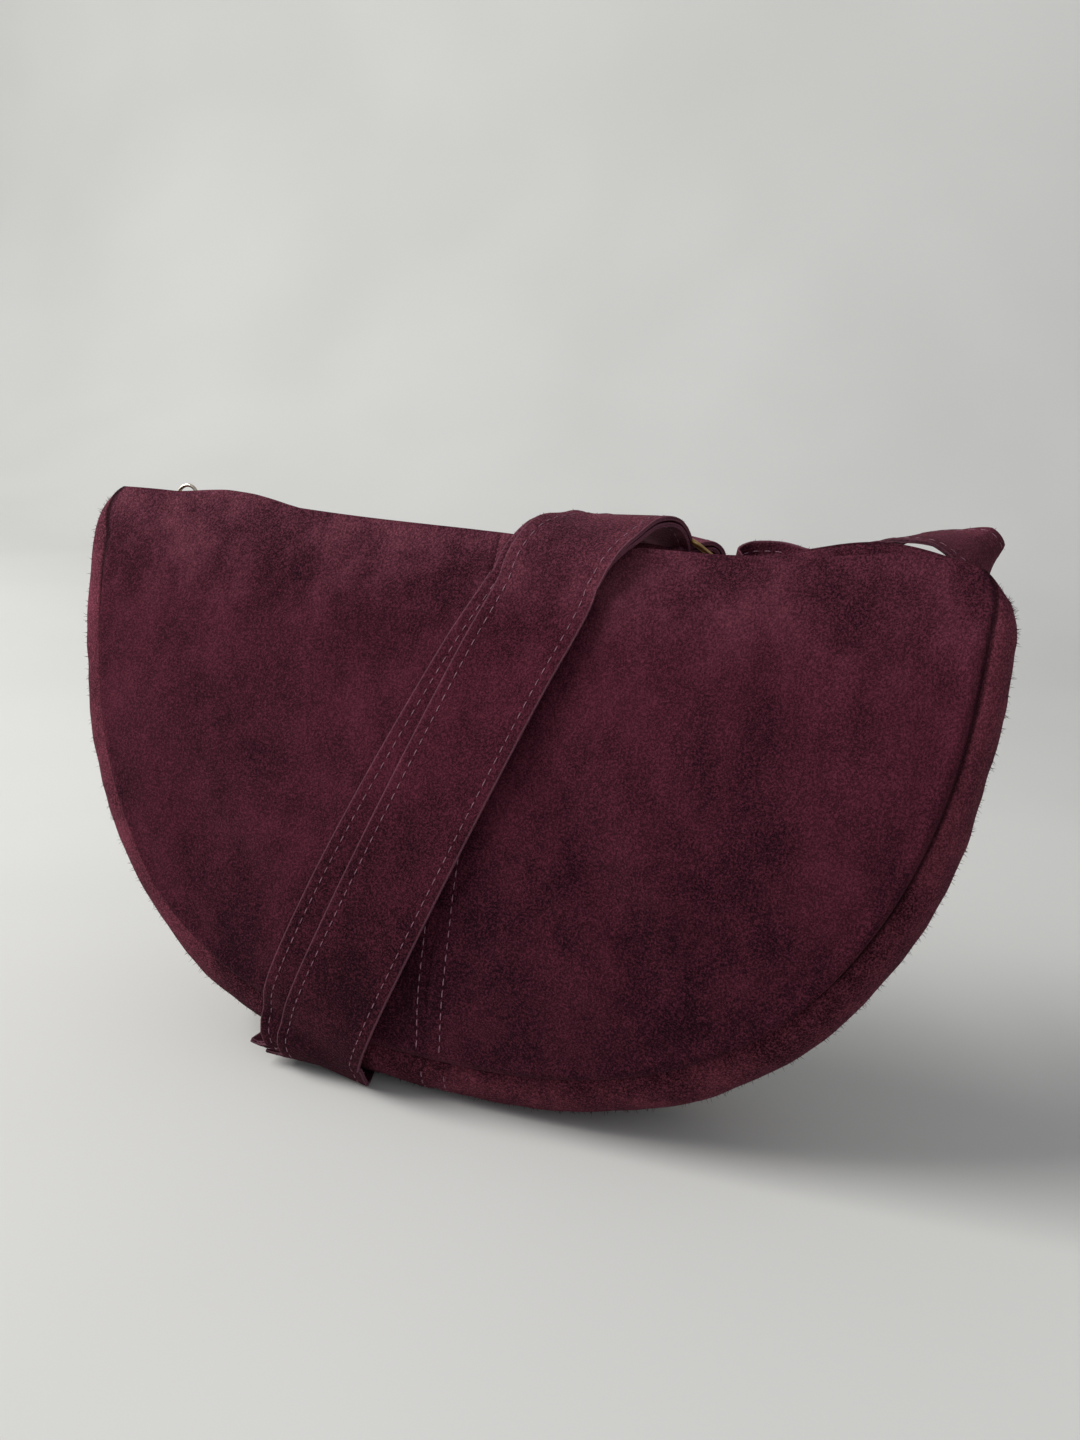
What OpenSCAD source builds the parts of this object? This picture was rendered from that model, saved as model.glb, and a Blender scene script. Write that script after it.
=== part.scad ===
// Half moon shoulder bag in suede, standing on its base with its strap wrapped round it.
// Units are millimetres. X runs along the bag, -Y is the front, +Z is up.
// The origin lies on the floor, on the flat patch that the bag rests on.
// The bag is drawn upright in its own frame, then leaned back and pressed flat at the base.

/* [Bag outline] */
// Length of the bag over the gusset
bag_w = 320; // [260:1:380]
// Height of the bag from base to top edge
bag_h = 192; // [160:1:230]
// Depth of the gusset at the base, seam to seam
base_depth = 54; // [40:1:70]
// Depth of the gusset at the top, seam to seam
top_depth = 30; // [26:1:40]
// How far each panel bellies out beyond its seam
belly_out = 11; // [4:0.5:14]
// How far the side seams lie inside the outline
seam_side = 7; // [4:0.5:10]
// How far the base seam lies inside the outline
seam_base = 16; // [8:0.5:20]
// Length of each rounded top corner along the bag
corner_l = 12; // [10:0.5:20]
// Height of each rounded top corner
corner_h = 17; // [12:0.5:26]
// Place of the centre seams along the bag
join_x = -3; // [-8:0.5:8]

/* [Stance] */
// Angle that the bag leans back
lean = 8; // [4:0.5:12]
// How deep the base is pressed flat
settle = 1.5; // [0.5:0.1:2.5]

/* [Layers] */
// Thickness of the outer suede
suede_t = 1.3; // [0.9:0.1:1.6]
// Gap between one layer and the next
layer_gap = 0.35; // [0.2:0.05:0.6]
// Thickness of the stiffening felt
felt_t = 0.8; // [0.5:0.1:1.2]
// Thickness of the cotton lining
lining_t = 0.5; // [0.3:0.1:0.8]

/* [Zip] */
// Distance from each end of the rows of teeth to the end of the bag
zip_margin = 34; // [28:1:60]
// How far the zip lies below the top edges
zip_drop = 7; // [5:0.5:9]
// Half the width of the opening between the two borders
mouth_half = 5; // [4.6:0.1:6]
// Width of each zip tape
tape_w = 10.5; // [8:0.5:11]
// Thickness of each zip tape
tape_t = 0.6; // [0.4:0.1:0.8]
// Distance from one tooth to the next in a row
tooth_pitch = 3; // [2:0.1:4]
// Height of the teeth
tooth_h = 2.4; // [1.8:0.1:2.6]
// Outer edge of each row of teeth, measured from the middle
tooth_edge = 2.7; // [2.3:0.1:3]
// Slot between the two rows of teeth, where the slider's blade runs
tooth_slot = 0.9; // [0.7:0.1:1.2]

/* [Slider and pull] */
// Length of the slider
slider_l = 9; // [8:0.5:12]
// Width of the slider
slider_w = 8.6; // [8:0.1:9.4]
// Thickness of each slider plate
plate_t = 1.2; // [0.8:0.1:1.4]
// Diameter of the wire of the pull ring
pull_wire = 1.4; // [1.1:0.1:1.6]
// Outer diameter of the pull ring
pull_d = 9.2; // [8.5:0.1:10]
// Length of the link from its pivot to its eye
link_l = 5; // [4.6:0.1:6]
// Thickness of the link
link_t = 1; // [0.8:0.1:1.2]

/* [Strap] */
// Width of the strap
strap_w = 32; // [24:1:34]
// Thickness of each of the strap's two plies
ply_t = 0.75; // [0.5:0.05:0.9]
// Gap between the two plies
ply_gap = 0.1; // [0.05:0.05:0.2]
// Gap between the strap and what it lies on
strap_gap = 0.9; // [0.4:0.1:1]
// How far the inner run has slipped sideways from under the outer run
run_slip = 10.5; // [0:0.5:12]

/* [Rings and tabs] */
// Diameter of the wire of the strap rings
ring_wire = 3; // [2.4:0.1:3.4]
// Distance between the two long bars of a strap ring
ring_l = 12; // [11:0.5:16]
// Width of the tabs
tab_w = 28; // [20:1:32]
// Length of the tabs below the ring
tab_l = 20; // [16:1:26]
// Thickness of one layer of a tab
tab_t = 1.3; // [1:0.1:1.6]
// Distance from the middle of each tab to the end of the bag
tab_in = 30; // [28:1:34]
// Distance from the tabs' ring bars to the top edge
tab_drop = 32; // [26:1:38]
// Outward tilt of the tabs
tab_tilt = 25; // [20:1:30]

/* [Adjuster] */
// Diameter of the adjuster's bars
bar_d = 2; // [1.6:0.1:2.4]
// Distance from the adjuster's middle bar to each outer bar
bar_step = 10.5; // [9.5:0.5:12]

/* [Hidden] */
$fn = 32;

suede = [0.27, 0.11, 0.16];
suede_dark = [0.22, 0.09, 0.12];
felt = [0.75, 0.73, 0.7];
cotton = [0.35, 0.25, 0.27];
tape_red = [0.3, 0.08, 0.13];
brass = [0.8, 0.68, 0.45];

half_w = bag_w / 2;
base_half = base_depth / 2;
top_half = top_depth / 2;
centre_z = bag_h - corner_h;
outline_power = 2.43;
belly_power = 6;
roll_power = 4;
corner_cells = 3;
side_cells = 7;
arc_cells = 10;
gusset_cells = 4;
quarter = 90;
corner_angle = 45;
base_share = 0.19;
base_y = base_half * base_share;
run_over = 1;

// Heights of the layers below the outer face
felt_depth = suede_t + layer_gap;
lining_depth = felt_depth + felt_t + layer_gap;

// Shape of the bag in its own upright frame
function power(v, p) = sign(v) * pow(abs(v), p);
function seam_in(b) = b < 0 ? seam_side * sin(quarter + b)
    : seam_side + (seam_base - seam_side) * sin(b);
function rim_x(b, d) = b < 0 ? half_w - corner_l + (corner_l - d) * cos(b)
    : (half_w - d) * power(cos(b), 2 / outline_power);
function rim_z(b, d) = b < 0 ? centre_z - (corner_h - d) * sin(b)
    : centre_z - (centre_z - d) * power(sin(b), 2 / outline_power);
function rim_joined(b, d, side, reach) = b <= corner_angle ? rim_x(b, d)
    : side * join_x + rim_x(b, d) * (reach - side * join_x) / reach;
function rim_point(b, d, side) = [rim_joined(b, d, side, rim_x(corner_angle, d)), rim_z(b, d)];
function seam_point(b, d, side) = rim_point(b, seam_in(b) + d, side);
function half_depth(z) = top_half + (base_half - top_half)
    * sin(quarter * pow(max(0, 1 - z / bag_h), 0.8));
function spread(x, z, d) = min(1, pow(pow(abs(x) / (half_w - seam_side - d), outline_power)
    + pow(max(0, centre_z - z) / (centre_z - seam_base - d), outline_power), 1 / outline_power));
function fall(z) = 1 - pow(1 - max(0, centre_z - z) / centre_z, 2.2);
function belly(x, z, d) = half_depth(z) - d
    + belly_out * sqrt(1 - pow(spread(x, z, d), belly_power)) * fall(z);

// Leans a point back, and presses it flat at the floor and over the strap that runs under the bag
function lean_back(p) = [p[0], p[1] * cos(lean) + p[2] * sin(lean) - base_y,
    p[2] * cos(lean) - p[1] * sin(lean) - settle];
function above(p, floor_z) = [p[0], p[1], max(p[2], floor_z)];
function stand(p, d) = let (q = lean_back(p)) above(q, d + strap_press(q));

module in_bag() {
    translate([0, -base_y, -settle]) rotate([-lean, 0, 0]) children();
}

// Angles of the outline: round the corner, down the side, and along the base to the centre seam
corner_share = pow(sin(corner_angle), 2 / outline_power);
crowding = 0.6;
function eased(k, n) = sin(quarter * k / n);
function mix(a, b, t) = a + (b - a) * t;
function side_angle(t) = asin(pow(corner_share * t, outline_power / 2));
function base_angle(u) = acos(pow(corner_share * u, outline_power / 2));
side_angles = [
    for (k = [0:corner_cells]) -quarter + quarter * k / corner_cells,
    for (k = [1:side_cells]) side_angle(mix(k / side_cells, eased(k, side_cells), crowding))];
base_angles = [for (k = [arc_cells - 1:-1:0]) base_angle(k / arc_cells)];
rim_angles = concat(side_angles, base_angles);
lining_start = 2;
side_last = len(side_angles) - 1;

// Blends the four edges of one half panel into a grid of points
function panel_flat(u, b, side, d) = let (
        seam_x = side * join_x,
        top = bag_h - d,
        top_end = seam_point(-quarter, d, side),
        low_end = seam_point(quarter, d, side),
        arc_end = seam_point(corner_angle, d, side),
        outer_edge = seam_point(b, d, side),
        v = (top - outer_edge[1]) / (top - arc_end[1]),
        top_edge = [mix(seam_x, top_end[0], u), top],
        low_edge = seam_point(base_angle(u), d, side),
        inner_edge = [seam_x, mix(top, low_end[1], v)])
    mix(top_edge, low_edge, v) + mix(inner_edge, outer_edge, u)
        - mix(mix([seam_x, top], top_end, u), mix(low_end, arc_end, u), v);
function panel_point(k, i, side, face, d) = let (
        p = panel_flat(k / arc_cells, side_angles[i], side, d),
        y = k == arc_cells || i == side_last ? half_depth(p[1]) - d : belly(p[0], p[1], d))
    stand([side * p[0], face * y, p[1]], d);

// Closes two grids of points into one thin solid
module sheet(outer, inner, flip) {
    rows = len(outer);
    cols = len(outer[0]);
    n = rows * cols;
    points = [for (grid = [outer, inner]) for (row = grid) for (p = row) p];
    quads = [
        for (i = [0:rows - 2]) for (j = [0:cols - 2]) let (a = i * cols + j)
            [a, a + 1, a + cols + 1, a + cols],
        for (i = [0:rows - 2]) for (j = [0:cols - 2]) let (a = n + i * cols + j)
            [a, a + cols, a + cols + 1, a + 1],
        for (j = [0:cols - 2]) [j + 1, j, n + j, n + j + 1],
        for (j = [0:cols - 2]) let (a = (rows - 1) * cols + j) [a, a + 1, n + a + 1, n + a],
        for (i = [0:rows - 2]) let (a = i * cols) [a, a + cols, n + a + cols, n + a],
        for (i = [0:rows - 2]) let (a = i * cols + cols - 1) [a + cols, a, n + a, n + a + cols]];
    polyhedron(points, [for (q = quads) each flip
        ? [[q[0], q[2], q[1]], [q[0], q[3], q[2]]]
        : [[q[0], q[1], q[2]], [q[0], q[2], q[3]]]]);
}

// One half of the front or back panel, cut from suede
module half_panel(side, face) {
    first = side < 0 ? -arc_cells : 0;
    function grid(d) = [for (i = [0:side_last]) [for (k = [first:first + arc_cells])
        panel_point(abs(k), i, side, face, d)]];
    color(suede) sheet(grid(0), grid(suede_t), face > 0);
}

// A whole inner layer of the front or back, from one depth to the next
module inner_layer(face, near, far) {
    function grid(d) = [for (i = [lining_start:side_last]) [for (k = [-arc_cells:arc_cells])
        panel_point(abs(k), i, k < 0 ? -1 : 1, face, d)]];
    sheet(grid(near), grid(far), face > 0);
}

// The gusset: a band round the side and base that swells out between its two seams
function mouth_dip(b, y) = b > -corner_angle ? 0
    : zip_drop * min(1, (top_half - abs(y)) / (top_half - mouth_half))
        * (-b - corner_angle) / (quarter - corner_angle);
function gusset_point(b, w, side, d) = let (
        inner = seam_point(b, d, side),
        outer = rim_point(b, d, side),
        p = mix(inner, outer, sqrt(1 - pow(abs(w), roll_power))),
        full = half_depth(inner[1]),
        y = (full - d) * w)
    stand([side * p[0], y, p[1] - mouth_dip(b, full * w)], d);

module gusset_band(side, near, far, angles) {
    function grid(d) = [for (b = angles) [for (k = [-gusset_cells:gusset_cells])
        gusset_point(b, eased(k, gusset_cells), side, d)]];
    sheet(grid(near), grid(far), side < 0);
}

module front_panel_left() { half_panel(-1, -1); }
module front_panel_right() { half_panel(1, -1); }
module back_panel_left() { half_panel(-1, 1); }
module back_panel_right() { half_panel(1, 1); }
module gusset_left() { color(suede_dark) gusset_band(-1, 0, suede_t, rim_angles); }
module gusset_right() { color(suede_dark) gusset_band(1, 0, suede_t, rim_angles); }
module front_felt() { color(felt) inner_layer(-1, felt_depth, felt_depth + felt_t); }
module back_felt() { color(felt) inner_layer(1, felt_depth, felt_depth + felt_t); }
module front_lining() { color(cotton) inner_layer(-1, lining_depth, lining_depth + lining_t); }
module back_lining() { color(cotton) inner_layer(1, lining_depth, lining_depth + lining_t); }

// The gusset's lining, one band from end to end
module gusset_lining() {
    angles = [for (k = [lining_start:len(rim_angles) - 1]) rim_angles[k]];
    color(cotton) for (side = [-1, 1])
        gusset_band(side, lining_depth, lining_depth + lining_t, angles);
}

// The zip: two borders slope down to the tapes, and the teeth meet in the middle
mouth_end = half_w - corner_l;
zip_l = bag_w - 2 * zip_margin;
border_slope = zip_drop / (top_half - mouth_half);
border_rise = suede_t * sqrt(1 + border_slope * border_slope);
seat_gap = 0.05;
tape_z = bag_h - zip_drop - border_rise - seat_gap - tape_t / 2;

module along_bag(length) {
    in_bag() translate([-length / 2, 0, 0]) rotate([quarter, 0, quarter])
        linear_extrude(length) children();
}

module border(face) {
    color(suede) along_bag(2 * mouth_end) scale([face, 1]) polygon([
        [top_half, bag_h], [mouth_half, bag_h - zip_drop],
        [mouth_half, bag_h - zip_drop - border_rise],
        [top_half - suede_t, bag_h - border_slope * suede_t - border_rise],
        [top_half - suede_t, bag_h - suede_t]]);
}

module zip_border_front() { border(-1); }
module zip_border_back() { border(1); }

tape_l = 2 * mouth_end - 2 * tape_w;
module tape(face) {
    color(tape_red) in_bag() translate([-tape_l / 2, face > 0 ? tooth_edge : -tooth_edge - tape_w,
        tape_z - tape_t / 2]) cube([tape_l, tape_w, tape_t]);
}

module zip_tape_front() { tape(-1); }
module zip_tape_back() { tape(1); }

// A row of teeth is a comb: a spine on the edge of the tape, with teeth that point to the middle
tooth_count = floor(zip_l / tooth_pitch);
tooth_l = tooth_pitch * 0.5;
spine_edge = tooth_edge - (tooth_edge - tooth_slot / 2) * 0.4;
module comb(face) {
    start = -tooth_count * tooth_pitch / 2;
    color(brass) in_bag() translate([0, 0, tape_z - tooth_h / 2]) linear_extrude(tooth_h)
        scale([1, face]) polygon([
            [start, tooth_edge],
            for (k = [0:tooth_count - 1]) let (x = start + k * tooth_pitch) each [
                [x, spine_edge], [x + (tooth_pitch - tooth_l) / 2, spine_edge],
                [x + (tooth_pitch - tooth_l) / 2, tooth_slot / 2],
                [x + (tooth_pitch + tooth_l) / 2, tooth_slot / 2],
                [x + (tooth_pitch + tooth_l) / 2, spine_edge]],
            [-start, spine_edge], [-start, tooth_edge]]);
}

module zip_teeth_front() { comb(-1); }
module zip_teeth_back() { comb(1); }

stop_l = 2.2;
stop_gap = 0.4;
module zip_stops_left() {
    color(brass) in_bag() for (face = [-1, 1])
        translate([-zip_l / 2 - stop_gap - stop_l, face > 0 ? tooth_slot / 2 : -tooth_edge,
            tape_z - tooth_h / 2]) cube([stop_l, tooth_edge - tooth_slot / 2, tooth_h]);
}
module zip_stop_right() {
    color(brass) in_bag() translate([zip_l / 2 + stop_gap, -tooth_edge, tape_z - tooth_h / 2])
        cube([stop_l, 2 * tooth_edge, tooth_h]);
}

// The slider: two plates joined by a blade in the slot between the teeth, with a bridge on top
slider_gap = 0.35;
slider_x = -zip_l / 2 + slider_l / 2 + run_over;
plate_in = tooth_h / 2 + slider_gap;
blade_w = tooth_slot * 0.5;
blade_l = slider_l * 0.3;
lip_w = slider_w / 2 - tooth_edge - slider_gap;
lip_in = tape_t / 2 + slider_gap;
bridge_w = 2;
bridge_t = 0.9;
bridge_hole = 2.2;
bridge_z = tape_z + plate_in + plate_t + bridge_hole / 2;
module plate(face) {
    low = face > 0 ? plate_in : -plate_in - plate_t;
    translate([-slider_l / 2, -slider_w / 2, low]) cube([slider_l, slider_w, plate_t]);
    for (side = [-1, 1]) translate([-slider_l / 2, side > 0 ? slider_w / 2 - lip_w : -slider_w / 2,
        face > 0 ? lip_in : -plate_in - plate_t])
        cube([slider_l, lip_w, plate_in + plate_t - lip_in]);
}
module zip_slider() {
    color(brass) in_bag() translate([slider_x, 0, tape_z]) {
        for (face = [-1, 1]) plate(face);
        translate([-slider_l / 2, -blade_w / 2, -plate_in - plate_t])
            cube([blade_l, blade_w, 2 * (plate_in + plate_t)]);
        translate([-slider_l / 2 + bridge_t, -bridge_w / 2, plate_in + plate_t]) difference() {
            cube([slider_l - 2 * bridge_t, bridge_w, bridge_hole + bridge_t]);
            translate([bridge_t, -run_over, -run_over])
                cube([slider_l - 4 * bridge_t, bridge_w + 2 * run_over, bridge_hole + run_over]);
        }
    }
}

// The link's cross pin lies under the bridge, and the pull ring hangs in its eye
link_angle = 32;
ring_angle = 25;
link_w = 4.4;
eye_r = 1.5;
pin_r = 0.6;
pin_gap = 0.3;
link_neck = 2.9;
link_x = slider_x - slider_l / 2 + 2 * bridge_t + pin_r + pin_gap;
pull_r = (pull_d - pull_wire) / 2;
module at_pivot() {
    in_bag() translate([link_x, 0, bridge_z]) rotate([0, link_angle, 0]) mirror([1, 0, 0]) children();
}
module zip_pull_link() {
    arm_in = bridge_w / 2 + slider_gap;
    color(brass) at_pivot() {
        translate([0, 0, -link_t / 2]) linear_extrude(link_t) difference() {
            union() {
                translate([link_l, 0]) circle(d = link_w);
                translate([0, -link_w / 2]) square([link_l, link_w]);
            }
            translate([link_l, 0]) circle(r = eye_r);
            translate([-run_over, -arm_in]) square([link_neck + run_over, 2 * arm_in]);
        }
        translate([0, link_w / 2, 0]) rotate([quarter, 0, 0]) cylinder(r = pin_r, h = link_w);
    }
}
module zip_pull_ring() {
    color(brass) at_pivot() translate([link_l, 0, 0]) rotate([0, -ring_angle, 0])
        translate([pull_r, 0, 0]) rotate([quarter, 0, 0]) rotate_extrude()
            translate([pull_r, 0]) circle(d = pull_wire);
}

// Strap ring: a rectangular wire ring held by a tab on the back panel, near the top corner
hinge_gap = 0.1;
loop_play = 0.8;
strap_t = 2 * ply_t + ply_gap;
pair_gap = 0.4;
ring_slack = 2;
ring_in = strap_w + ring_slack;
tab_x = half_w - tab_in;
tab_z = bag_h - tab_drop;
ring_span = ring_in + ring_wire;
tab_pitch = 11;
tab_turn = 3;
tab_back = ring_wire / 2 + hinge_gap + tab_t;
tail_t = 2 * tab_t;
tab_y = belly(tab_x, tab_z, 0) + 5 * seat_gap + tab_back;
loop_r = ring_wire / 2 + loop_play + strap_t / 2;
hang_play = 1.6;
hang_out = tail_t - tab_back + pair_gap * 2 + strap_t / 2 + loop_r + hang_play;
hang_angle = asin(hang_out / ring_l);
lift_angle = 12;

module at_tab(side) {
    in_bag() translate([side * tab_x, tab_y, tab_z]) rotate([tab_pitch, 0, -side * tab_turn])
        rotate([0, side * tab_tilt, 0]) children();
}

// A tab is a strip of suede folded round the ring's bar, its two ends sewn flat on the back panel
module ring_tab(side) {
    neck = 3 * tab_back;
    color(suede_dark) at_tab(side) difference() {
        union() {
            rotate([0, quarter, 0]) translate([0, 0, -tab_w / 2]) cylinder(r = tab_back, h = tab_w);
            translate([-tab_w / 2, 0, 0]) rotate([quarter, 0, quarter]) linear_extrude(tab_w)
                polygon([[-tab_back, 0], [tab_back, 0], [tail_t - tab_back, -neck],
                    [tail_t - tab_back, -tab_l], [-tab_back, -tab_l]]);
        }
        rotate([0, quarter, 0]) translate([0, 0, -tab_w / 2 - run_over])
            cylinder(d = ring_wire + 2 * hinge_gap, h = tab_w + 2 * run_over);
    }
}
module ring_tab_left() { ring_tab(-1); }
module ring_tab_right() { ring_tab(1); }

module strap_ring(side, angle) {
    color(brass) at_tab(side) rotate([angle, 0, 0]) {
        for (z = [0, ring_l]) translate([-ring_span / 2, 0, z]) rotate([0, quarter, 0])
            cylinder(d = ring_wire, h = ring_span);
        for (x = [-1, 1]) translate([x * ring_span / 2, 0, 0]) {
            cylinder(d = ring_wire, h = ring_l);
            for (z = [0, ring_l]) translate([0, 0, z]) sphere(d = ring_wire);
        }
    }
}
module strap_ring_left() { strap_ring(-1, -quarter * 2 + hang_angle); }
module strap_ring_right() { strap_ring(1, -lift_angle); }

// The strap's route in the bag's own frame.
// A row holds a point, and the way that the strap's right edge points there.
function unit(v) = v / norm(v);
function turned_x(p, a) = [p[0], p[1] * cos(a) - p[2] * sin(a), p[1] * sin(a) + p[2] * cos(a)];
function turned_y(p, a) = [p[0] * cos(a) + p[2] * sin(a), p[1], p[2] * cos(a) - p[0] * sin(a)];
function turned_z(p, a) = [p[0] * cos(a) - p[1] * sin(a), p[0] * sin(a) + p[1] * cos(a), p[2]];
function from_tab(p, side) = turned_z(turned_x(turned_y(p, side * tab_tilt), tab_pitch),
    -side * tab_turn);
function tab_place(p, side) = [side * tab_x, tab_y, tab_z] + from_tab(p, side);

// Shares of half the length and of the height, down the back from the left ring, then up the front
back_shares = [[-0.7, 0.63], [-0.63, 0.52], [-0.55, 0.4], [-0.47, 0.28], [-0.405, 0.18]];
front_shares = [[-0.24, 0.16], [-0.178, 0.3], [-0.103, 0.46], [-0.03, 0.62],
    [0.04, 0.78], [0.098, 0.91]];
// Shares of half the length and of half the base depth, round the base
under_shares = [[-0.365, 0.96], [-0.352, 0.7], [-0.32, 0], [-0.284, -0.7], [-0.27, -0.96]];
// Shares of half the length, half the base depth and the height, over the top
arch_shares = [[0.12, -0.69, 0.98], [0.145, -0.46, 1.016], [0.165, -0.1, 1.033],
    [0.19, 0.3, 1.038], [0.203, 0.64, 1.03]];
back_edge = [0.91, 0, 0.42];
under_edge = [0.97, 0.24, 0];
front_edge = [0.94, 0, -0.33];
arch_edge = [[0.94, -0.05, -0.3], [0.95, -0.2, 0.02], [0.95, -0.28, 0.09], [0.93, -0.35, 0.06],
    [0.88, -0.46, 0.03]];

back_rows = [for (s = back_shares) let (x = s[0] * half_w, z = s[1] * bag_h)
    [[x, belly(x, z, 0), z], back_edge]];
front_rows = [for (s = front_shares) let (x = s[0] * half_w, z = s[1] * bag_h)
    [[x, -belly(x, z, 0), z], front_edge]];
under_rows = [for (s = under_shares)
    [[s[0] * half_w, s[1] * base_half, seam_base * (1 - sqrt(1 - pow(abs(s[1]), roll_power)))],
        abs(s[1]) > 0.9 ? (s[1] > 0 ? back_edge : front_edge) : under_edge]];
arch_rows = [for (k = [0:len(arch_shares) - 1]) let (s = arch_shares[k])
    [[s[0] * half_w, s[1] * base_half, s[2] * bag_h], arch_edge[k]]];

// Adjuster: it lies on the strap just behind the top edge
adjust_shares = [0.3125, 1.36, 1.002];
adjust_at = [adjust_shares[0] * half_w, adjust_shares[1] * base_half, adjust_shares[2] * bag_h];
adjust_edge = unit([0.65, -0.74, -0.08]);
adjust_way = unit(cross(unit([0.3, 0.35, 0.88]), adjust_edge));
adjust_face = cross(adjust_edge, adjust_way);
bar_play = 1;
end_loop_r = bar_d / 2 + bar_play + strap_t / 2;
under_bar = -(bar_d / 2 + bar_play + strap_t / 2);
over_bar = end_loop_r + strap_t + pair_gap;
function at_adjuster(way, face) = adjust_at + adjust_way * way + adjust_face * face;
function adjuster_row(way, face) = [at_adjuster(way, face), adjust_edge];

// Offsets of the inner and the outer run from the face of the bag
inner_run = strap_gap + strap_t / 2;
outer_run = inner_run + strap_t + pair_gap;

// Loop of the strap round the left ring's lower bar, seen along the bar
left_bar = turned_x([0, 0, ring_l], -2 * quarter + hang_angle);
left_edge = from_tab([1, 0, 0], -1);
loop_turns = [0, 45, 90, 135, 180];
left_loop = [for (a = loop_turns)
    [tab_place(left_bar + loop_r * [0, -cos(a), sin(a)], -1), left_edge]];

// Single run behind the bag, as shares of half the length, half the base depth and the height
rear_shares = [[0.42, 2, 0.95], [0.48, 2.12, 0.96], [0.55, 1.95, 0.955],
    [0.605, 1.6, 0.965], [0.66, 1.36, 0.985], [0.73, 1.333, 1.025], [0.81, 1.407, 1.066],
    [0.885, 1.444, 1.075], [0.93, 1.44, 1.04], [0.915, 1.3, 0.985]];
rear_edge = [[0.4, -0.5, 0.75], [0.1, -0.25, 0.95], [0, -0.2, 1], [0, -0.1, 1], [0, -0.4, 0.9],
    [-0.1, -0.85, 0.45], [0, -0.98, -0.1], [0.1, -0.93, -0.38], [0.3, -0.87, -0.35],
    [0.6, -0.7, -0.38]];
rear_rows = [for (k = [0:len(rear_shares) - 1]) let (s = rear_shares[k])
    [[s[0] * half_w, s[1] * base_half, s[2] * bag_h], rear_edge[k]]];

// Loop round the right ring's upper bar, with the strap's end turned back inside
right_bar = turned_x([0, 0, ring_l], -lift_angle);
right_edge = from_tab([1, 0, 0], 1);
right_loop = [for (a = loop_turns)
    [tab_place(right_bar + loop_r * [0, cos(a), -sin(a)], 1), right_edge]];
end_l = strap_w * 0.3;
right_lead = [tab_place(right_bar + [0, loop_r, strap_w / 4], 1), right_edge];
right_ends = [for (up = [end_l, 2 * end_l])
    [tab_place(right_bar + [0, -loop_r, up], 1), right_edge]];

// Smooth ribbon through the rows, where the first and last rows only guide its ends.
// A place on it holds a point, the way to its right edge, and the way that it faces.
steps = 2;
function curve(a, b, c, d, t) = let (
        reach = norm(c - b), leave = unit(c - a) * reach, arrive = unit(d - b) * reach)
    b + (3 * t * t - 2 * t * t * t) * (c - b) + t * (1 - t) * ((1 - t) * leave - t * arrive);
function place(before, p, after, edge) = let (
        way = unit(unit(p - before) + unit(after - p)),
        right = unit(edge - way * (edge * way)))
    [p, right, cross(right, way)];
function smooth(rows) = let (
        last = len(rows) - 2,
        points = concat([rows[0][0]],
            [for (k = [1:last - 1]) for (j = [0:steps - 1]) j == 0 ? rows[k][0]
                : curve(rows[k - 1][0], rows[k][0], rows[k + 1][0], rows[k + 2][0], j / steps)],
            [rows[last][0], rows[last + 1][0]]),
        edges = concat([for (k = [1:last - 1]) for (j = [0:steps - 1])
            mix(unit(rows[k][1]), unit(rows[k + 1][1]), j / steps)], [unit(rows[last][1])]))
    [for (i = [0:len(edges) - 1]) place(points[i], points[i + 1], points[i + 2], edges[i])];
function part_of(list, from, to) = [for (k = [from:to]) list[k]];

// The two runs that lie on each other keep to one ribbon on the face of the bag
adjust_base = under_bar - strap_t - pair_gap - inner_run;
pair = smooth(concat([[tab_place(left_bar, -1), left_edge]], back_rows, under_rows, front_rows,
    arch_rows, [for (way = [-1.2, -0.9]) adjuster_row(way * bar_step, adjust_base)]));
pair_last = len(pair) - 1;
inner = [for (i = [pair_last:-1:0]) let (p = pair[i])
    [p[0] + p[2] * inner_run - p[1] * run_slip
        * pow(sin(2 * quarter * i / pair_last), 3), p[1], -p[2]]];
outer = [for (p = pair) [p[0] + p[2] * outer_run, p[1], p[2]]];

// The whole strap: sewn end and adjuster, inner run, left ring, outer run, adjuster, right ring
over_angle = 34;
function round_bar(r, a) = adjuster_row(r * sin(a), r * cos(a));
sewn_rows = [for (way = [-1.2, -0.62]) adjuster_row(way * bar_step, under_bar - 1.5 * strap_t)];
bar_rows = concat([for (a = [180, 135, 90, 45, 0, -over_angle]) round_bar(end_loop_r, a)],
    [adjuster_row(-bar_step, under_bar - strap_t - 2 * pair_gap)]);
pass_rows = [adjuster_row(-bar_step, under_bar), round_bar(over_bar, -over_angle),
    round_bar(over_bar, over_angle), adjuster_row(bar_step, under_bar),
    adjuster_row(1.5 * bar_step, 1.1 * under_bar)];
sewn_part = smooth(concat(sewn_rows, bar_rows, part_of(inner, 0, 1)));
left_part = smooth(concat(part_of(inner, pair_last - 1, pair_last), left_loop,
    part_of(outer, 0, 1)));
last_part = smooth(concat(part_of(outer, pair_last - 1, pair_last), pass_rows, rear_rows,
    [right_lead], right_loop, right_ends));
places = concat(part_of(sewn_part, 0, len(sewn_part) - 2), inner,
    part_of(left_part, 1, len(left_part) - 2), outer, part_of(last_part, 1, len(last_part) - 1));
place_last = len(places) - 1;
inner_last = len(sewn_part) + pair_last + floor(len(left_part) / 2);

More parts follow.
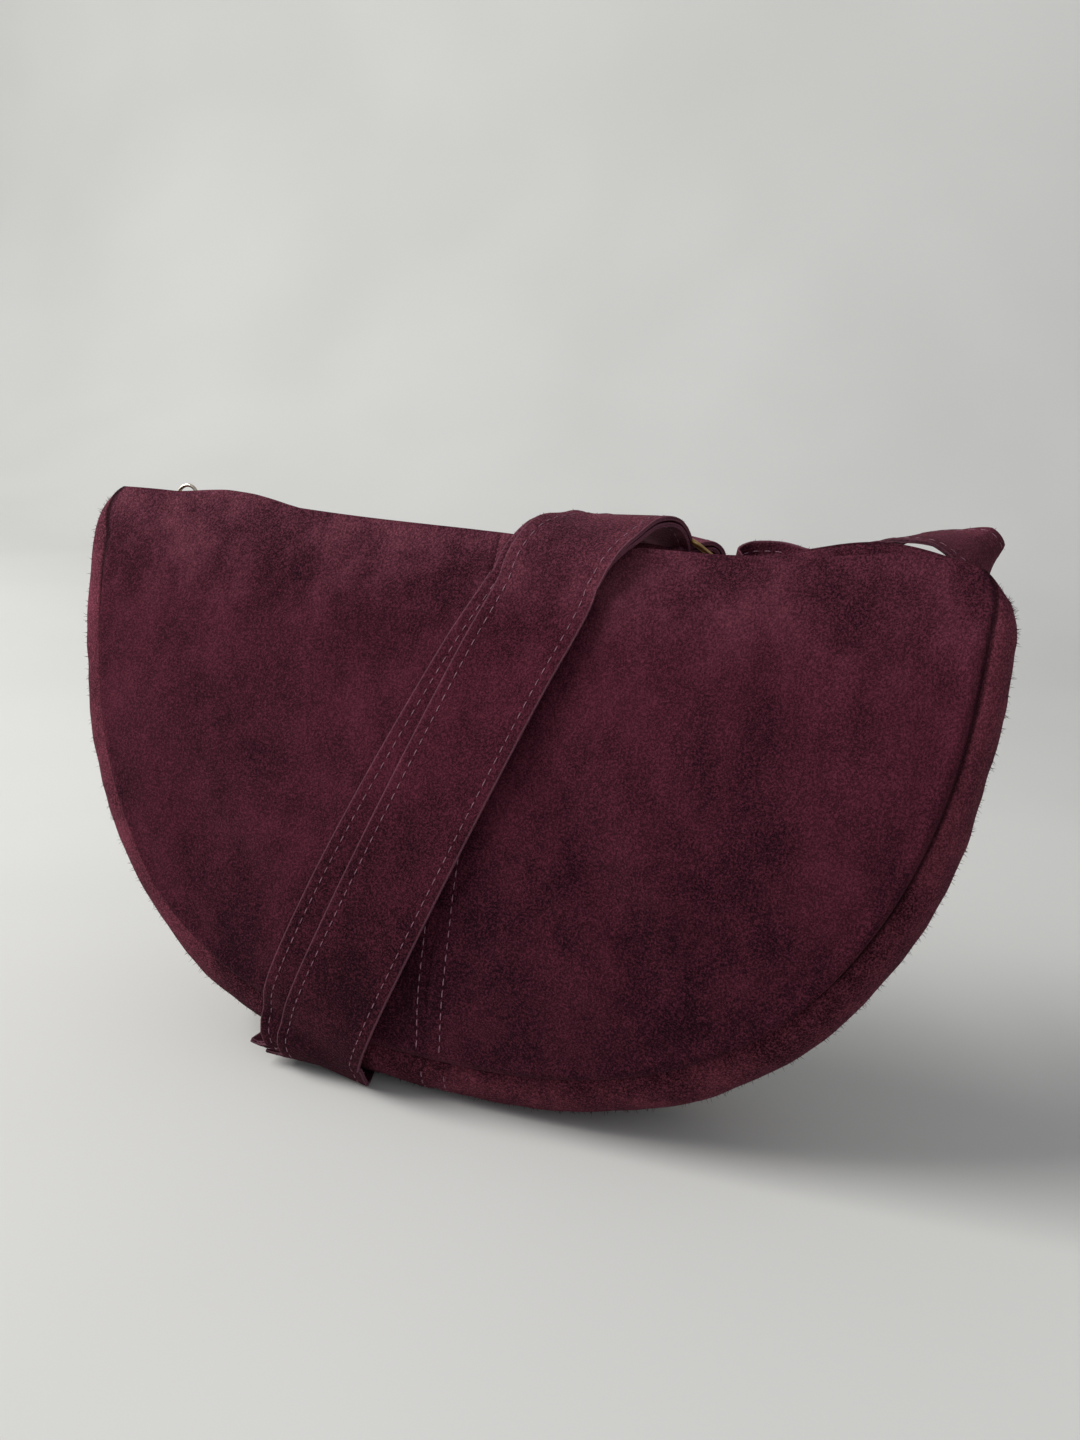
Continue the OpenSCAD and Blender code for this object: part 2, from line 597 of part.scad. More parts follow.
// Height above the floor that the strap's layers keep where they run under the bag,
// and distance that they keep from the panels where they run over them
function strap_floor(i, off) = i <= inner_last
    ? strap_t + pair_gap + off + strap_t / 2 : strap_t / 2 - off;
function strap_clear(i, off) = i < len(sewn_part) || i > len(places) - len(last_part) ? 0
    : i <= inner_last ? inner_run - off : outer_run + off;
function full_at(z) = pow(1 - pow(1 - min(1, z / seam_base), 2), 1 / roll_power);
function clear_of(p, need) = p[2] < 0 || p[2] > bag_h - zip_drop ? p
    : [p[0], sign(p[1]) * max(abs(p[1]), (belly(p[0], p[2], 0) + need) * full_at(p[2])), p[2]];
function strap_point(i, side, off) = let (p = places[i])
    above(lean_back(clear_of(p[0] + p[1] * side * strap_w / 2 + p[2] * off,
        strap_clear(i, off))), strap_floor(i, off));
press_half = strap_w * 0.74 + run_slip / 2;
press_fade = strap_w * 0.5;
press_rise = 2 * strap_t + pair_gap + strap_gap;
press_mid = lean_back(under_rows[2][0]) - [run_slip / 2, 0, 0];
press_slope = (under_shares[3][0] - under_shares[1][0]) * half_w
    / ((under_shares[3][1] - under_shares[1][1]) * base_half);
function strap_press(p) = let (
        off = abs(p[0] - press_mid[0] - (p[1] - press_mid[1]) * press_slope) - press_half,
        t = max(0, min(1, 1 - off / press_fade)))
    press_rise * t * t * (3 - 2 * t);

// One ply of the strap, from one offset to the next, as a closed ribbon
across = 4;
module ply(low, high) {
    row = 2 * (across + 1);
    last = row * place_last;
    points = [for (i = [0:place_last]) each [
        for (k = [0:across]) strap_point(i, 2 * k / across - 1, low),
        for (k = [across:-1:0]) strap_point(i, 2 * k / across - 1, high)]];
    polyhedron(points, [
        for (k = [0:across - 1]) let (a = k, b = k + 1, c = row - 2 - k, d = row - 1 - k)
            each [[a, c, b], [a, d, c], [last + a, last + b, last + c], [last + a, last + c, last + d]],
        for (i = [0:place_last - 1]) for (k = [0:row - 1])
            let (a = row * i + k, b = row * i + (k + 1) % row, c = b + row, d = a + row)
            each (k <= across) == (i >= inner_last)
                ? [[a, c, d], [a, b, c]] : [[a, b, d], [d, b, c]]]);
}
module strap_face() { color(suede) ply(ply_gap / 2, ply_gap / 2 + ply_t); }
module strap_backing() { color(suede_dark) ply(-ply_gap / 2 - ply_t, -ply_gap / 2); }

// The adjuster: a wire frame with a middle bar
module strap_adjuster() {
    frame_half = strap_w / 2 + bar_d;
    color(brass) in_bag() multmatrix([
        for (k = [0:2]) [adjust_edge[k], adjust_way[k], adjust_face[k], adjust_at[k]]]) {
        for (y = [-bar_step, 0, bar_step]) translate([-frame_half, y, 0]) rotate([0, quarter, 0])
            cylinder(d = bar_d, h = 2 * frame_half);
        for (x = [-frame_half, frame_half]) {
            translate([x, bar_step, 0]) rotate([quarter, 0, 0]) cylinder(d = bar_d, h = 2 * bar_step);
            for (y = [-bar_step, 0, bar_step]) translate([x, y, 0]) sphere(d = bar_d);
        }
    }
}

front_panel_left();
front_panel_right();
back_panel_left();
back_panel_right();
gusset_left();
gusset_right();
front_felt();
back_felt();
front_lining();
back_lining();
gusset_lining();
zip_border_front();
zip_border_back();
zip_tape_front();
zip_tape_back();
zip_teeth_front();
zip_teeth_back();
zip_stops_left();
zip_stop_right();
zip_slider();
zip_pull_link();
zip_pull_ring();
ring_tab_left();
ring_tab_right();
strap_ring_left();
strap_ring_right();
strap_face();
strap_backing();
strap_adjuster();
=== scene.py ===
import bpy
import numpy as np
from mathutils import Matrix, Vector


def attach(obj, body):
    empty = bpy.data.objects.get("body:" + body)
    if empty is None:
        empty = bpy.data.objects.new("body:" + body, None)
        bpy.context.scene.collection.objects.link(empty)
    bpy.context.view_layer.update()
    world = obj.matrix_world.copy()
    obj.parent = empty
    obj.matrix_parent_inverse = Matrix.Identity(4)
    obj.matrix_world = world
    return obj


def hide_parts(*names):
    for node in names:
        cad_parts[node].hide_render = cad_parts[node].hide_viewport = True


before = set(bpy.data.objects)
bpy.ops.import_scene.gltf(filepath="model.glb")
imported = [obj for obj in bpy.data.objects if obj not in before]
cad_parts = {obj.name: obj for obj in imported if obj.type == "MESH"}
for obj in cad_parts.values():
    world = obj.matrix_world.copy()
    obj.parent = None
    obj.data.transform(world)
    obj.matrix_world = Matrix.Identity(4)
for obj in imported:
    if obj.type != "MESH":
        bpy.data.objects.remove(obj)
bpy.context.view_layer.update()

# Camera
# It stands in front of the bag and a little to its right, looks down on it, and is tipped
# slightly to one side, as a phone held by hand is.
camera_turn, camera_down, camera_tip = np.radians([17.73, 15.47, -3.75])
camera_place = np.array([17.15, -415.01, 245.26]) * 0.001
camera_focus, photo_w = 1300, 1080


def in_scene(name, data):
    """Puts a camera, a lamp or a mesh into the scene, at the origin."""
    made = bpy.data.objects.new(name, data)
    bpy.context.scene.collection.objects.link(made)
    return made


def spin(p, axis, angle):
    """Turns points about one of the three axes."""
    p = np.asarray(p, float)
    i, j = ((1, 2), (2, 0), (0, 1))[axis]
    q = p.copy()
    q[..., i] = p[..., i] * np.cos(angle) - p[..., j] * np.sin(angle)
    q[..., j] = p[..., i] * np.sin(angle) + p[..., j] * np.cos(angle)
    return q


right, up, ahead = spin(spin(np.eye(3)[[0, 2, 1]], 1, camera_tip), 0, -camera_down)
axes = spin(np.stack([right, up, -ahead, camera_place]), 2, camera_turn).T
camera_data = bpy.data.cameras.new("camera")
camera_data.sensor_fit = "HORIZONTAL"
camera_data.sensor_width = 36
camera_data.lens = camera_focus / photo_w * camera_data.sensor_width
camera_data.clip_start = 0.01
camera = in_scene("camera", camera_data)
camera.matrix_world = Matrix(np.vstack([axes, [0, 0, 0, 1]]).tolist())
bpy.context.scene.camera = camera
bpy.context.scene.view_settings.view_transform = "Standard"


# Front and back panels
# Each panel is two pieces of burgundy suede, joined by an open seam down the middle. Its edge is
# sewn to the gusset with the seam turned in, so the panel swells out of a crease.
MM = 0.001
bag_w, bag_h, base_depth, top_depth = 320, 192, 54, 30
belly_out, seam_side, seam_base, corner_l, corner_h, join_x = 11, 7, 16, 12, 17, -3
suede_t, lean, settle, base_share = 1.3, np.radians(8), 1.5, 0.19
outline_power, belly_power, fall_power, depth_power = 2.43, 6, 2.2, 0.8
mouth_half, top_roll, edge_roll = 5, 30, 4
seam_shift, left_shift, spread_l = 0.8, 3, 150
turned_in, turned_half, turned_out, turned_up = 4, 3, 1.2, 0.6
press_x, press_slant, press_half, press_fade, press_rise = -56.45, 0.2878, 28.93, 16, 4.5
half_w, centre_z, base_half = bag_w / 2, bag_h - corner_h, base_depth / 2
base_y, fold_w = base_share * base_half, top_depth / 2 - mouth_half
corner_share, corner_rows = np.sin(np.pi / 4) ** (2 / outline_power), 26
front_back, left_right = ((-1, "front"), (1, "back")), ((-1, "left"), (1, "right"))
# The swells of the top edges: place along the bag, width and height.
edge_swells = ((-130, 45, 2.2), (21, 15, -3.8), (128, 30, 6.5))
back_swells = ((108, 26, 4.5), (36, 14, 2.5))
# The groove of the middle seam, and the swell beside it: place, width and height.
join_groove = ((0, 0.9, -0.55), (2.2, 1.6, 0.22))
# The folds of the front and of the back: both ends in x and z, width and height.
panel_folds = {
    -1: ((30, 112, 52, 76, 6, -1.0), (43, 95, 68, 58, 5, -1.1), (54, 108, 80, 68, 7, 1.5),
         (-32, 169, 8, 182, 4.5, -1.1), (-64, 163, -4, 184, 6, 1.0), (100, 158, 116, 128, 6, -0.9),
         (70, 40, 40, 60, 6, 0.7), (-100, 90, -60, 60, 8, -1.4), (-75, 150, 10, 186, 13, 1.5),
         (-110, 168, -20, 150, 12, -1.2), (-104, 44, -64, 24, 9, -2.0), (-112, 62, -78, 40, 8, 1.0),
         (20, 125, 66, 70, 12, -1.8), (38, 130, 84, 78, 11, 1.7), (84, 165, 125, 128, 13, -2.0),
         (100, 176, 148, 130, 10, 1.8), (-120, 110, -80, 50, 12, -1.7), (60, 60, 112, 92, 14, -1.5)),
    1: ((-90, 175, -30, 120, 14, 1.2), (20, 150, 70, 70, 16, -1.1), (110, 150, 60, 40, 15, 1.0),
        (-120, 130, -60, 50, 13, -0.9))}


def power(v, p):
    """v to the power p, keeping the sign of v."""
    return np.sign(v) * np.abs(v) ** p


def unit(v):
    """Ways made one unit long."""
    return v / np.maximum(np.linalg.norm(v, axis=-1, keepdims=True), 1e-9)


def points_at(*axes):
    """Points from their coordinates, each of which is spread over the whole grid."""
    return np.stack(np.broadcast_arrays(*axes), -1)


def ease(t):
    """A smooth step: 0 up to 0, 1 from 1 on, and 3 t squared less 2 t cubed between."""
    t = np.clip(t, 0, 1)
    return t * t * (3 - 2 * t)


def swells(x, rows):
    """Bell curves, summed. Each row gives one's place, width and height."""
    return sum(height * np.exp(-((x - place) / width) ** 2) for place, width, height in rows)


def folds(x, z, rows):
    """Soft folds along lines, summed: each is a bell curve across its line, which fades towards
    both its ends. Each row gives a line's start and end, and the fold's width and height."""
    total = 0
    for start_x, start_z, end_x, end_z, width, height in rows:
        run_x, run_z = end_x - start_x, end_z - start_z
        t = ((x - start_x) * run_x + (z - start_z) * run_z) / (run_x ** 2 + run_z ** 2)
        off = np.hypot(x - start_x - t * run_x, z - start_z - t * run_z)
        total += height * np.exp(-(off / width) ** 2 - (2 * np.abs(t - 0.5)) ** 4)
    return total


def seam_in(b, side):
    """How far the seam lies inside the outline at angle b: it grows from the corner to the base,
    and is a little more on the left."""
    more = seam_shift + (left_shift if side < 0 else 0) * np.cos(b) ** 2
    return np.where(b < 0, (seam_side + more) * np.cos(b),
                    seam_side + more + (seam_base - seam_side) * np.sin(np.maximum(b, 0)))


def rim(b, d, side):
    """The outline at angle b, set in by d: a rounded corner above, half a superellipse below."""
    low = np.maximum(b, 0)
    x = np.where(b < 0, half_w - corner_l + (corner_l - d) * np.cos(b),
                 (half_w - d) * power(np.cos(low), 2 / outline_power))
    z = np.where(b < 0, centre_z - (corner_h - d) * np.sin(b),
                 centre_z - (centre_z - d) * power(np.sin(low), 2 / outline_power))
    reach = (half_w - d) * power(np.cos(np.pi / 4), 2 / outline_power)
    x = np.where(b > np.pi / 4, side * join_x + x * (reach - side * join_x) / reach, x)
    return np.stack([x, z], -1)


def seam(b, d, side):
    """The line where a panel meets the gusset, seen from the front."""
    return rim(b, seam_in(b, side) + d, side)


def half_depth(z):
    """Half the gusset's depth at height z: a quarter sine wave from the top to the base."""
    share = np.clip(1 - z / bag_h, 0, 1) ** depth_power
    return top_depth / 2 + (base_depth - top_depth) / 2 * np.sin(np.pi / 2 * share)


def spread(x, z, d):
    """How near a place is to the seams: a superellipse's measure, 0 in the middle, 1 on them."""
    total = ((np.abs(x) / (half_w - seam_side - d)) ** outline_power
             + (np.maximum(0, centre_z - z) / (centre_z - seam_base - d)) ** outline_power)
    return total ** (1 / outline_power)


def belly(x, z, d=0.0):
    """Half the bag's depth at (x, z): the gusset's, and a swelling that dies away at the seams."""
    fall = 1 - (1 - np.clip((centre_z - z) / centre_z, 0, 1)) ** fall_power
    full = np.sqrt(1 - np.minimum(1, spread(x, z, d)) ** belly_power)
    return half_depth(z) - d + belly_out * full * fall


def turned_edge(x, z, d):
    """The roll of suede beside the turned seam: a bell curve a few millimetres inside it, with
    a slight wave along it."""
    off = (1 - spread(x, z, d)) * spread_l
    return np.exp(-((off - turned_in) / turned_half) ** 2) * (1 + 0.07 * np.sin(x / 2.3 + z / 1.9))


def lean_back(p):
    """Leans points back with the bag, and sets them on the floor."""
    return spin(p, 0, -lean) - [0, base_y, settle]


def strap_press(p):
    """How far the strap that runs under the bag lifts the suede there: a smooth step."""
    off = np.abs(p[..., 0] - press_x + (p[..., 1] + base_y) * press_slant) - press_half
    return press_rise * ease(1 - off / press_fade)


def top_form(p):
    """Rounds the top of the bag: a smooth step up to the edge rolls it inwards and lifts it by
    the swells, which are higher on the back."""
    x, y, z = np.moveaxis(p, -1, 0)
    t = ease(1 - (bag_h - z) / top_roll)
    k = t * np.clip((np.abs(y) - mouth_half) / fold_w, 0, 1)
    lift = swells(x, edge_swells) + np.where(y > 0, swells(x, back_swells), 0)
    return points_at(x, y - np.sign(y) * edge_roll * t * k, z + lift * k)


def stand(p, d):
    """Leans points back, and presses them flat on the floor and on the strap under the bag."""
    q = lean_back(top_form(p))
    q[..., 2] = np.maximum(q[..., 2], d + strap_press(q))
    return q


def ripple(p, sizes, seed):
    """Uneven handwork: plane waves of each size with random ways and phases, summed. The sizes
    give their lengths and heights."""
    draw = np.random.default_rng(seed)
    total, waves = np.zeros(p.shape[:-1]), 7
    for size, height in sizes:
        for _ in range(waves):
            way = draw.normal(size=3)
            way *= 2 * np.pi / size / np.linalg.norm(way) * draw.uniform(0.7, 1.4)
            total += height / waves ** 0.5 * np.sin(p @ way + draw.uniform(0, 2 * np.pi))
    return total


def panel_grid(side, face, d, cells=130, first=0):
    """Half a panel as a grid: its four edges are blended, and each point is pushed out by the
    belly, the folds, the groove of the middle seam and the ripple, which fade at the seams."""
    u = np.linspace(0, 1, cells)
    arc = corner_share * (0.4 * u + 0.6 * np.sin(np.pi / 2 * u))
    b = np.concatenate([np.linspace(-np.pi / 2, 0, corner_rows)[:-1],
                        np.arcsin(arc ** (outline_power / 2))])[first:, None]
    low_b = np.arccos((corner_share * u) ** (outline_power / 2))
    top, seam_x = bag_h - d, side * join_x
    top_end, low_end = seam(-np.pi / 2, d, side), seam(np.pi / 2, d, side)
    arc_end, outer = seam(np.pi / 4, d, side), seam(b, d, side)
    v = (top - outer[..., 1]) / (top - arc_end[1])
    top_edge = points_at(seam_x + (top_end[0] - seam_x) * u, top)
    inner = points_at(seam_x, top + (low_end[1] - top) * v)
    corner = np.array([seam_x, top])
    v, w = v[..., None], u[..., None]
    flat = (top_edge * (1 - v) + seam(low_b, d, side) * v + inner * (1 - w) + outer * w
            - (corner * (1 - w) + top_end * w) * (1 - v) - (low_end * (1 - w) + arc_end * w) * v)
    x, z = side * flat[..., 0], flat[..., 1]
    down = np.linspace(0, 1, len(b))[:, None]
    depth = np.where((u == 1) | (down == 1), half_depth(z) - d, belly(x, z, d))
    point = points_at(x, face * depth, z)
    inside = np.clip(4 * np.minimum(1 - u, 1 - down), 0, 1)
    from_top = np.clip((bag_h - z) / top_roll, 0, 1)
    slack = folds(x, z, panel_folds[face])
    slack += ripple(point, ((46, 0.35), (21, 0.16), (9, 0.06)), 3 + face)
    push = slack * (0.25 + 0.75 * from_top) + swells(np.abs(x - join_x), join_groove)
    roll = turned_edge(x, z, d) * np.minimum(1, 12 * inside) * from_top
    point[..., 1] += face * (push * inside + turned_out * roll)
    point += unit(points_at(x, 0, z - centre_z)) * (turned_up * roll)[..., None]
    return stand(point, d)


def outward(points, faces):
    """Turns a closed mesh's faces round if its signed volume is negative."""
    a, b, c = points[faces[:, 0]], points[faces[:, 1]], points[faces[:, 2]]
    e = points[faces[:, 3]]
    volume = (np.cross(a, b) * c).sum() + (np.cross(a, c) * e).sum()
    return faces if volume > 0 else faces[:, ::-1]


def quads(*corners):
    """Faces with four sides, from the grids of numbers that give their corners in turn."""
    return np.stack(corners, -1).reshape(-1, 4)


def shell(outer, inner):
    """Closes two grids of points into one thin solid, with a rim round its four edges."""
    front, back = np.arange(outer[..., 0].size * 2).reshape(2, *outer.shape[:2])

    def cells(g):
        return quads(g[:-1, :-1], g[:-1, 1:], g[1:, 1:], g[1:, :-1])

    def band(f, g):
        return quads(f[:-1], g[:-1], g[1:], f[1:])

    faces = np.concatenate([cells(front), cells(back)[:, ::-1], band(front[0], back[0]),
                            band(back[-1], front[-1]), band(back[:, 0], front[:, 0]),
                            band(front[:, -1], back[:, -1])])
    points = np.concatenate([outer.reshape(-1, 3), inner.reshape(-1, 3)])
    return points, outward(points, faces)


def smoothed(mesh, finish, sharp=40):
    """Gives a mesh its one material, and smooth faces that part at edges over a sharp angle."""
    mesh.polygons.foreach_set("use_smooth", np.ones(len(mesh.polygons), bool))
    mesh.set_sharp_from_angle(angle=np.radians(sharp))
    mesh.materials.clear()
    mesh.materials.append(finish)


def piece(name, points, faces, finish, slot, *nodes, body="bag", uv=None):
    """One finished piece from points in millimetres: a smooth mesh with its finish, which rides
    on a body and stands for the CAD nodes that are named."""
    mesh = bpy.data.meshes.new(name)
    mesh.from_pydata((points.reshape(-1, 3) * MM).tolist(), [], faces.tolist())
    smoothed(mesh, finish)
    if uv is not None:
        uv_map = mesh.uv_layers.new(name="UVMap")
        uv_map.data.foreach_set("uv", uv[faces].astype(np.float32).ravel())
    made = in_scene(name, mesh)
    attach(made, body)
    if nodes:
        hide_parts(*nodes)


class Flow:
    """One output of a material's node. Sums and products of flows add Math nodes."""

    def __init__(self, tree, link=None):
        self.tree, self.link = tree, link

    def plug(self, node, sockets):
        """Gives each named socket of a node its value, or its link."""
        for name, value in sockets.items():
            if isinstance(value, Flow):
                self.tree.links.new(value.link, node.inputs[name])
            else:
                node.inputs[name].default_value = value

    def node(self, kind, settings, sockets, out=0):
        """Adds a node of a type: first its settings, then each socket's value or link."""
        made = self.tree.nodes.new("ShaderNode" + kind)
        for name, value in settings.items():
            setattr(made, name, value)
        self.plug(made, sockets)
        return Flow(self.tree, made.outputs[out])

    def math(self, kind, *values):
        """A Math node of a kind, with its values or links in their order."""
        return self.node("Math", {"operation": kind}, dict(enumerate(values)))

    def __add__(self, other):
        return self.math("ADD", self, other)

    def __sub__(self, other):
        return self.math("SUBTRACT", self, other)

    def __rsub__(self, other):
        return self.math("SUBTRACT", other, self)

    def __mul__(self, other):
        return self.math("MULTIPLY", self, other)

    __radd__, __rmul__ = __add__, __mul__

    def place(self, flat=False):
        """Where a point is on the bag, in metres, or if flat, in the piece's own UV map."""
        return self.node("TexCoord", {}, {}, out=2 if flat else 3)

    def axis(self, number):
        """One coordinate of a place: 0, 1 or 2 for x, y or z."""
        return self.node("SeparateXYZ", {}, {"Vector": self}, out=number)

    def noise(self, scale, detail=2.0, rough=0.5, stretch=None):
        """Noise between 0 and 1 at this place, with a scale in cells for each metre."""
        place = self.node("Mapping", {}, {"Vector": self, "Scale": stretch}) if stretch else self
        return self.node("TexNoise", {}, {"Vector": place, "Scale": scale, "Detail": detail,
                                          "Roughness": rough})

    def step(self, low, high):
        """0 below low, 1 above high, smooth between."""
        return self.node("MapRange", {"interpolation_type": "SMOOTHSTEP"},
                         {"Value": self, "From Min": low, "From Max": high})

    def tint(self, dark, light):
        """A colour between two: the first where the flow is 0, the second where it is 1."""
        return self.node("Mix", {"data_type": "RGBA"}, {0: self, 6: dark, 7: light}, out=2)

    def bump(self, strength, distance):
        """The way a surface faces when this flow is the height of its bumps."""
        return self.node("Bump", {}, {"Height": self, "Strength": strength, "Distance": distance})


def new_finish(name):
    """An empty material with a Principled shader, and a flow to build its nodes from."""
    finish = bpy.data.materials.new(name)
    finish.use_nodes = True
    tree = finish.node_tree
    return finish, Flow(tree), tree.nodes["Principled BSDF"]


def colour(r, g, b):
    """A colour written as it looks on a screen, from 0 to 255, as the linear one that is used."""
    s = np.array([r, g, b]) / 255
    return (*np.where(s > 0.04045, ((s + 0.055) / 1.055) ** 2.4, s / 12.92), 1)


def suede(name, dark, light, nap=1.0, edge=None, crease_shade=None):
    """Suede: cloudy patches where the nap is brushed each way, a fine grain of fibre ends with
    their bump, no gloss and a faint sheen. It is painted paler towards the top of the bag, less
    so on the right, as a painted highlight where light falls from above, and painted darker
    towards the base, as painted shade. The UV map may say where a cut edge is, which is paler
    still, or how far a seam is, beside which the suede is painted dark, as painted shade."""
    finish, flow, shader = new_finish(name)
    place = flow.place()
    cloud = place.noise(16, 4, 0.55).step(0.34, 0.68)
    brush = place.noise(70, 4, 0.62, (1, 1, 0.7)).step(0.28, 0.74)
    fleck, fibre = place.noise(1400, 2, 0.62), place.noise(2600, 2, 0.6)
    height = place.axis(2)
    # Painted highlight: the suede is painted paler towards the top of the bag, where light falls from above,
    # and less so on its right.
    top_highlight = (height + brush * 0.014 + cloud * 0.012).step(0.166, 0.23)
    top_highlight = top_highlight * (1 - place.axis(0).step(-0.04, 0.14) * 0.7) * 0.8
    # The height term paints the suede darker towards the base, as painted shade; the other terms are its own
    # grain.
    tone = (cloud * 0.2 + brush * 0.27 + fleck.step(0.41, 0.68) * 0.44
            + fibre.step(0.38, 0.72) * 0.38 + height.step(0.0, 0.11) * 0.24 - 0.32)
    # The second pair of colours is the painted highlight's, mixed in towards the top.
    shade = top_highlight.tint(tone.tint(dark, light), tone.tint(colour(46, 18, 28), colour(156, 90, 106)))
    if edge:
        cut = flow.math("ABSOLUTE", flow.place(flat=True).axis(0)).step(edge - 0.0007, edge)
        shade = (cut * 0.5).tint(shade, colour(128, 84, 98))
    # Painted shade: the suede is painted nearly black in the fold of a turned seam, where little light gets
    # in.
    if crease_shade:
        away = flow.place(flat=True).axis(0).step(0.0003, crease_shade)
        shade = (away * 0.75 + 0.25).tint(colour(9, 1, 4), shade)
    flow.plug(shader, {"Base Color": shade, "Roughness": 0.95, "Specular IOR Level": 0.08,
                       "Sheen Weight": 0.08 * nap, "Sheen Roughness": 0.5,
                       "Sheen Tint": colour(205, 120, 145),
                       "Normal": (fleck * 0.65 + fibre * 0.35).bump(0.7, 0.0012)})
    return finish


# This map tells the suede how far the seams are, for its painted shade beside them.
def from_edges(*grids):
    """A UV map for a shell's grids: how far each point is, in metres, from the seams, which lie
    at the last column and at the last row or, if the grid is a band, at the first column."""
    maps = []
    for grid in grids:
        other = grid[:, :1] if grid.shape[1] < 50 else grid[-1:]
        off = [np.linalg.norm(grid - seam_line, axis=-1) for seam_line in (grid[:, -1:], other)]
        maps.append(points_at(np.minimum(*off).ravel(), 0) * MM)
    return np.concatenate(maps)


panel_suede = suede("panel_suede", colour(23, 3, 12), colour(98, 42, 58), crease_shade=0.0022)
for side, side_name in left_right:
    for face, name in front_back:
        grids = panel_grid(side, face, 0), panel_grid(side, face, suede_t)
        piece(f"panel_{name}_{side_name}", *shell(*grids), panel_suede, "panel_suede",
              f"{name}_panel_{side_name}", uv=from_edges(*grids))


# Gusset
# A band of suede round the sides and the base, in two lengths that meet in an open seam under
# the bag. It swells out between its two seams, and its top ends dip to the zip.
roll_power, zip_drop = 4, 7


def gusset_grid(side, d, first=0.0, cells=(300, 41)):
    """The band as a grid: round the outline by angle, and across by a rounded square profile
    from the seam to the outline."""
    b = np.concatenate([np.linspace(-np.pi / 2 * (1 - first), 0, 40)[:-1],
                        np.linspace(0, np.pi / 2, cells[0])])[:, None]
    w = np.sin(np.pi / 2 * np.linspace(-1, 1, cells[1]))
    across = np.sqrt(1 - np.abs(w) ** roll_power)[..., None]
    inner, outer = seam(b, d, side), rim(b, d, side)
    flat = inner + (outer - inner) * across
    full = half_depth(inner[..., 1])
    dip = np.minimum(1, (top_depth / 2 - np.abs(full * w)) / fold_w)
    dip = zip_drop * dip * np.maximum(0, -4 * b / np.pi - 1)
    point = points_at(side * flat[..., 0], (full - d) * w, flat[..., 1] - dip)
    way = unit((point - [0, 0, centre_z * 0.8]) * [1, 0, 1])
    slack = ripple(point, ((38, 0.3), (15, 0.16), (7, 0.07)), 11) - 0.25
    slack += swells(point[..., 0] - join_x, ((0, 0.9, -0.5),)) * np.clip(b / 0.8, 0, 1)
    point += way * (slack * (1 - np.abs(w) ** 8))[..., None]
    return stand(point, d)


# Painted light: the gusset's suede is painted paler than the panels', standing in for light bounced up from
# the floor; beside its seams it is painted dark, as painted shade.
gusset_suede = suede("gusset_suede", colour(33, 7, 17), colour(134, 65, 81), 0.9, crease_shade=0.0016)
for side, name in left_right:
    grids = gusset_grid(side, 0), gusset_grid(side, suede_t)
    piece(f"gusset_band_{name}", *shell(*grids), gusset_suede, "gusset_suede",
          f"gusset_{name}", uv=from_edges(*grids))


# Felt and lining
# Behind each panel lies a sheet of pressed felt that keeps the half moon standing, and inside
# that a cotton lining. They are cut short of the zip, and the gusset is lined in one band.
felt_t, lining_t, layer_gap = 0.8, 0.5, 0.35
felt_depth = suede_t + layer_gap
lining_depth = felt_depth + felt_t + layer_gap


def woven(name, dark, light, pitch):
    """Plain cloth: two crossed waves stand for the threads, with a little unevenness."""
    finish, flow, shader = new_finish(name)
    place = flow.place()
    across, along = (flow.node("TexWave", {"bands_direction": way},
                               {"Vector": place, "Scale": 0.31 / pitch, "Distortion": 0.6,
                                "Detail": 1.0}, out=1) for way in "XZ")
    weave = across * 0.5 + along * 0.5
    tone = weave * 0.5 + place.noise(300, 3) * 0.5
    flow.plug(shader, {"Base Color": tone.tint(dark, light), "Roughness": 0.85,
                       "Specular IOR Level": 0.25, "Normal": weave.bump(0.6, 0.0003)})
    return finish


def join(parts):
    """Several closed shells as one list of points and one list of faces."""
    starts = np.cumsum([0] + [len(points) for points, _ in parts[:-1]])
    return (np.concatenate([points for points, _ in parts]),
            np.concatenate([faces + start for (_, faces), start in zip(parts, starts)]))


felt = woven("felt", colour(176, 170, 162), colour(202, 197, 190), 0.0012)
cotton = woven("lining_cotton", colour(92, 58, 66), colour(122, 84, 92), 0.0007)
layers = (("felt", felt_depth, felt_t, felt, "felt"),
          ("lining", lining_depth, lining_t, cotton, "lining_cotton"))
for face, name in front_back:
    for layer, depth, thick, finish, slot in layers:
        halves = [shell(*(panel_grid(side, face, d, 60, 17) for d in (depth, depth + thick)))
                  for side in (-1, 1)]
        piece(f"{layer}_{name}", *join(halves), finish, slot, f"{name}_{layer}")
depths = lining_depth, lining_depth + lining_t
halves = [shell(*(gusset_grid(side, d, 0.667, (120, 21)) for d in depths)) for side in (-1, 1)]
piece("lining_gusset", *join(halves), cotton, "lining_cotton", "gusset_lining")


# Zip borders
# Two strips of the panels' suede, sewn to the top edges and folded down to the zip tapes. Near
# the closed end the front one puffs up behind the top edge.
mouth_end = half_w - corner_l


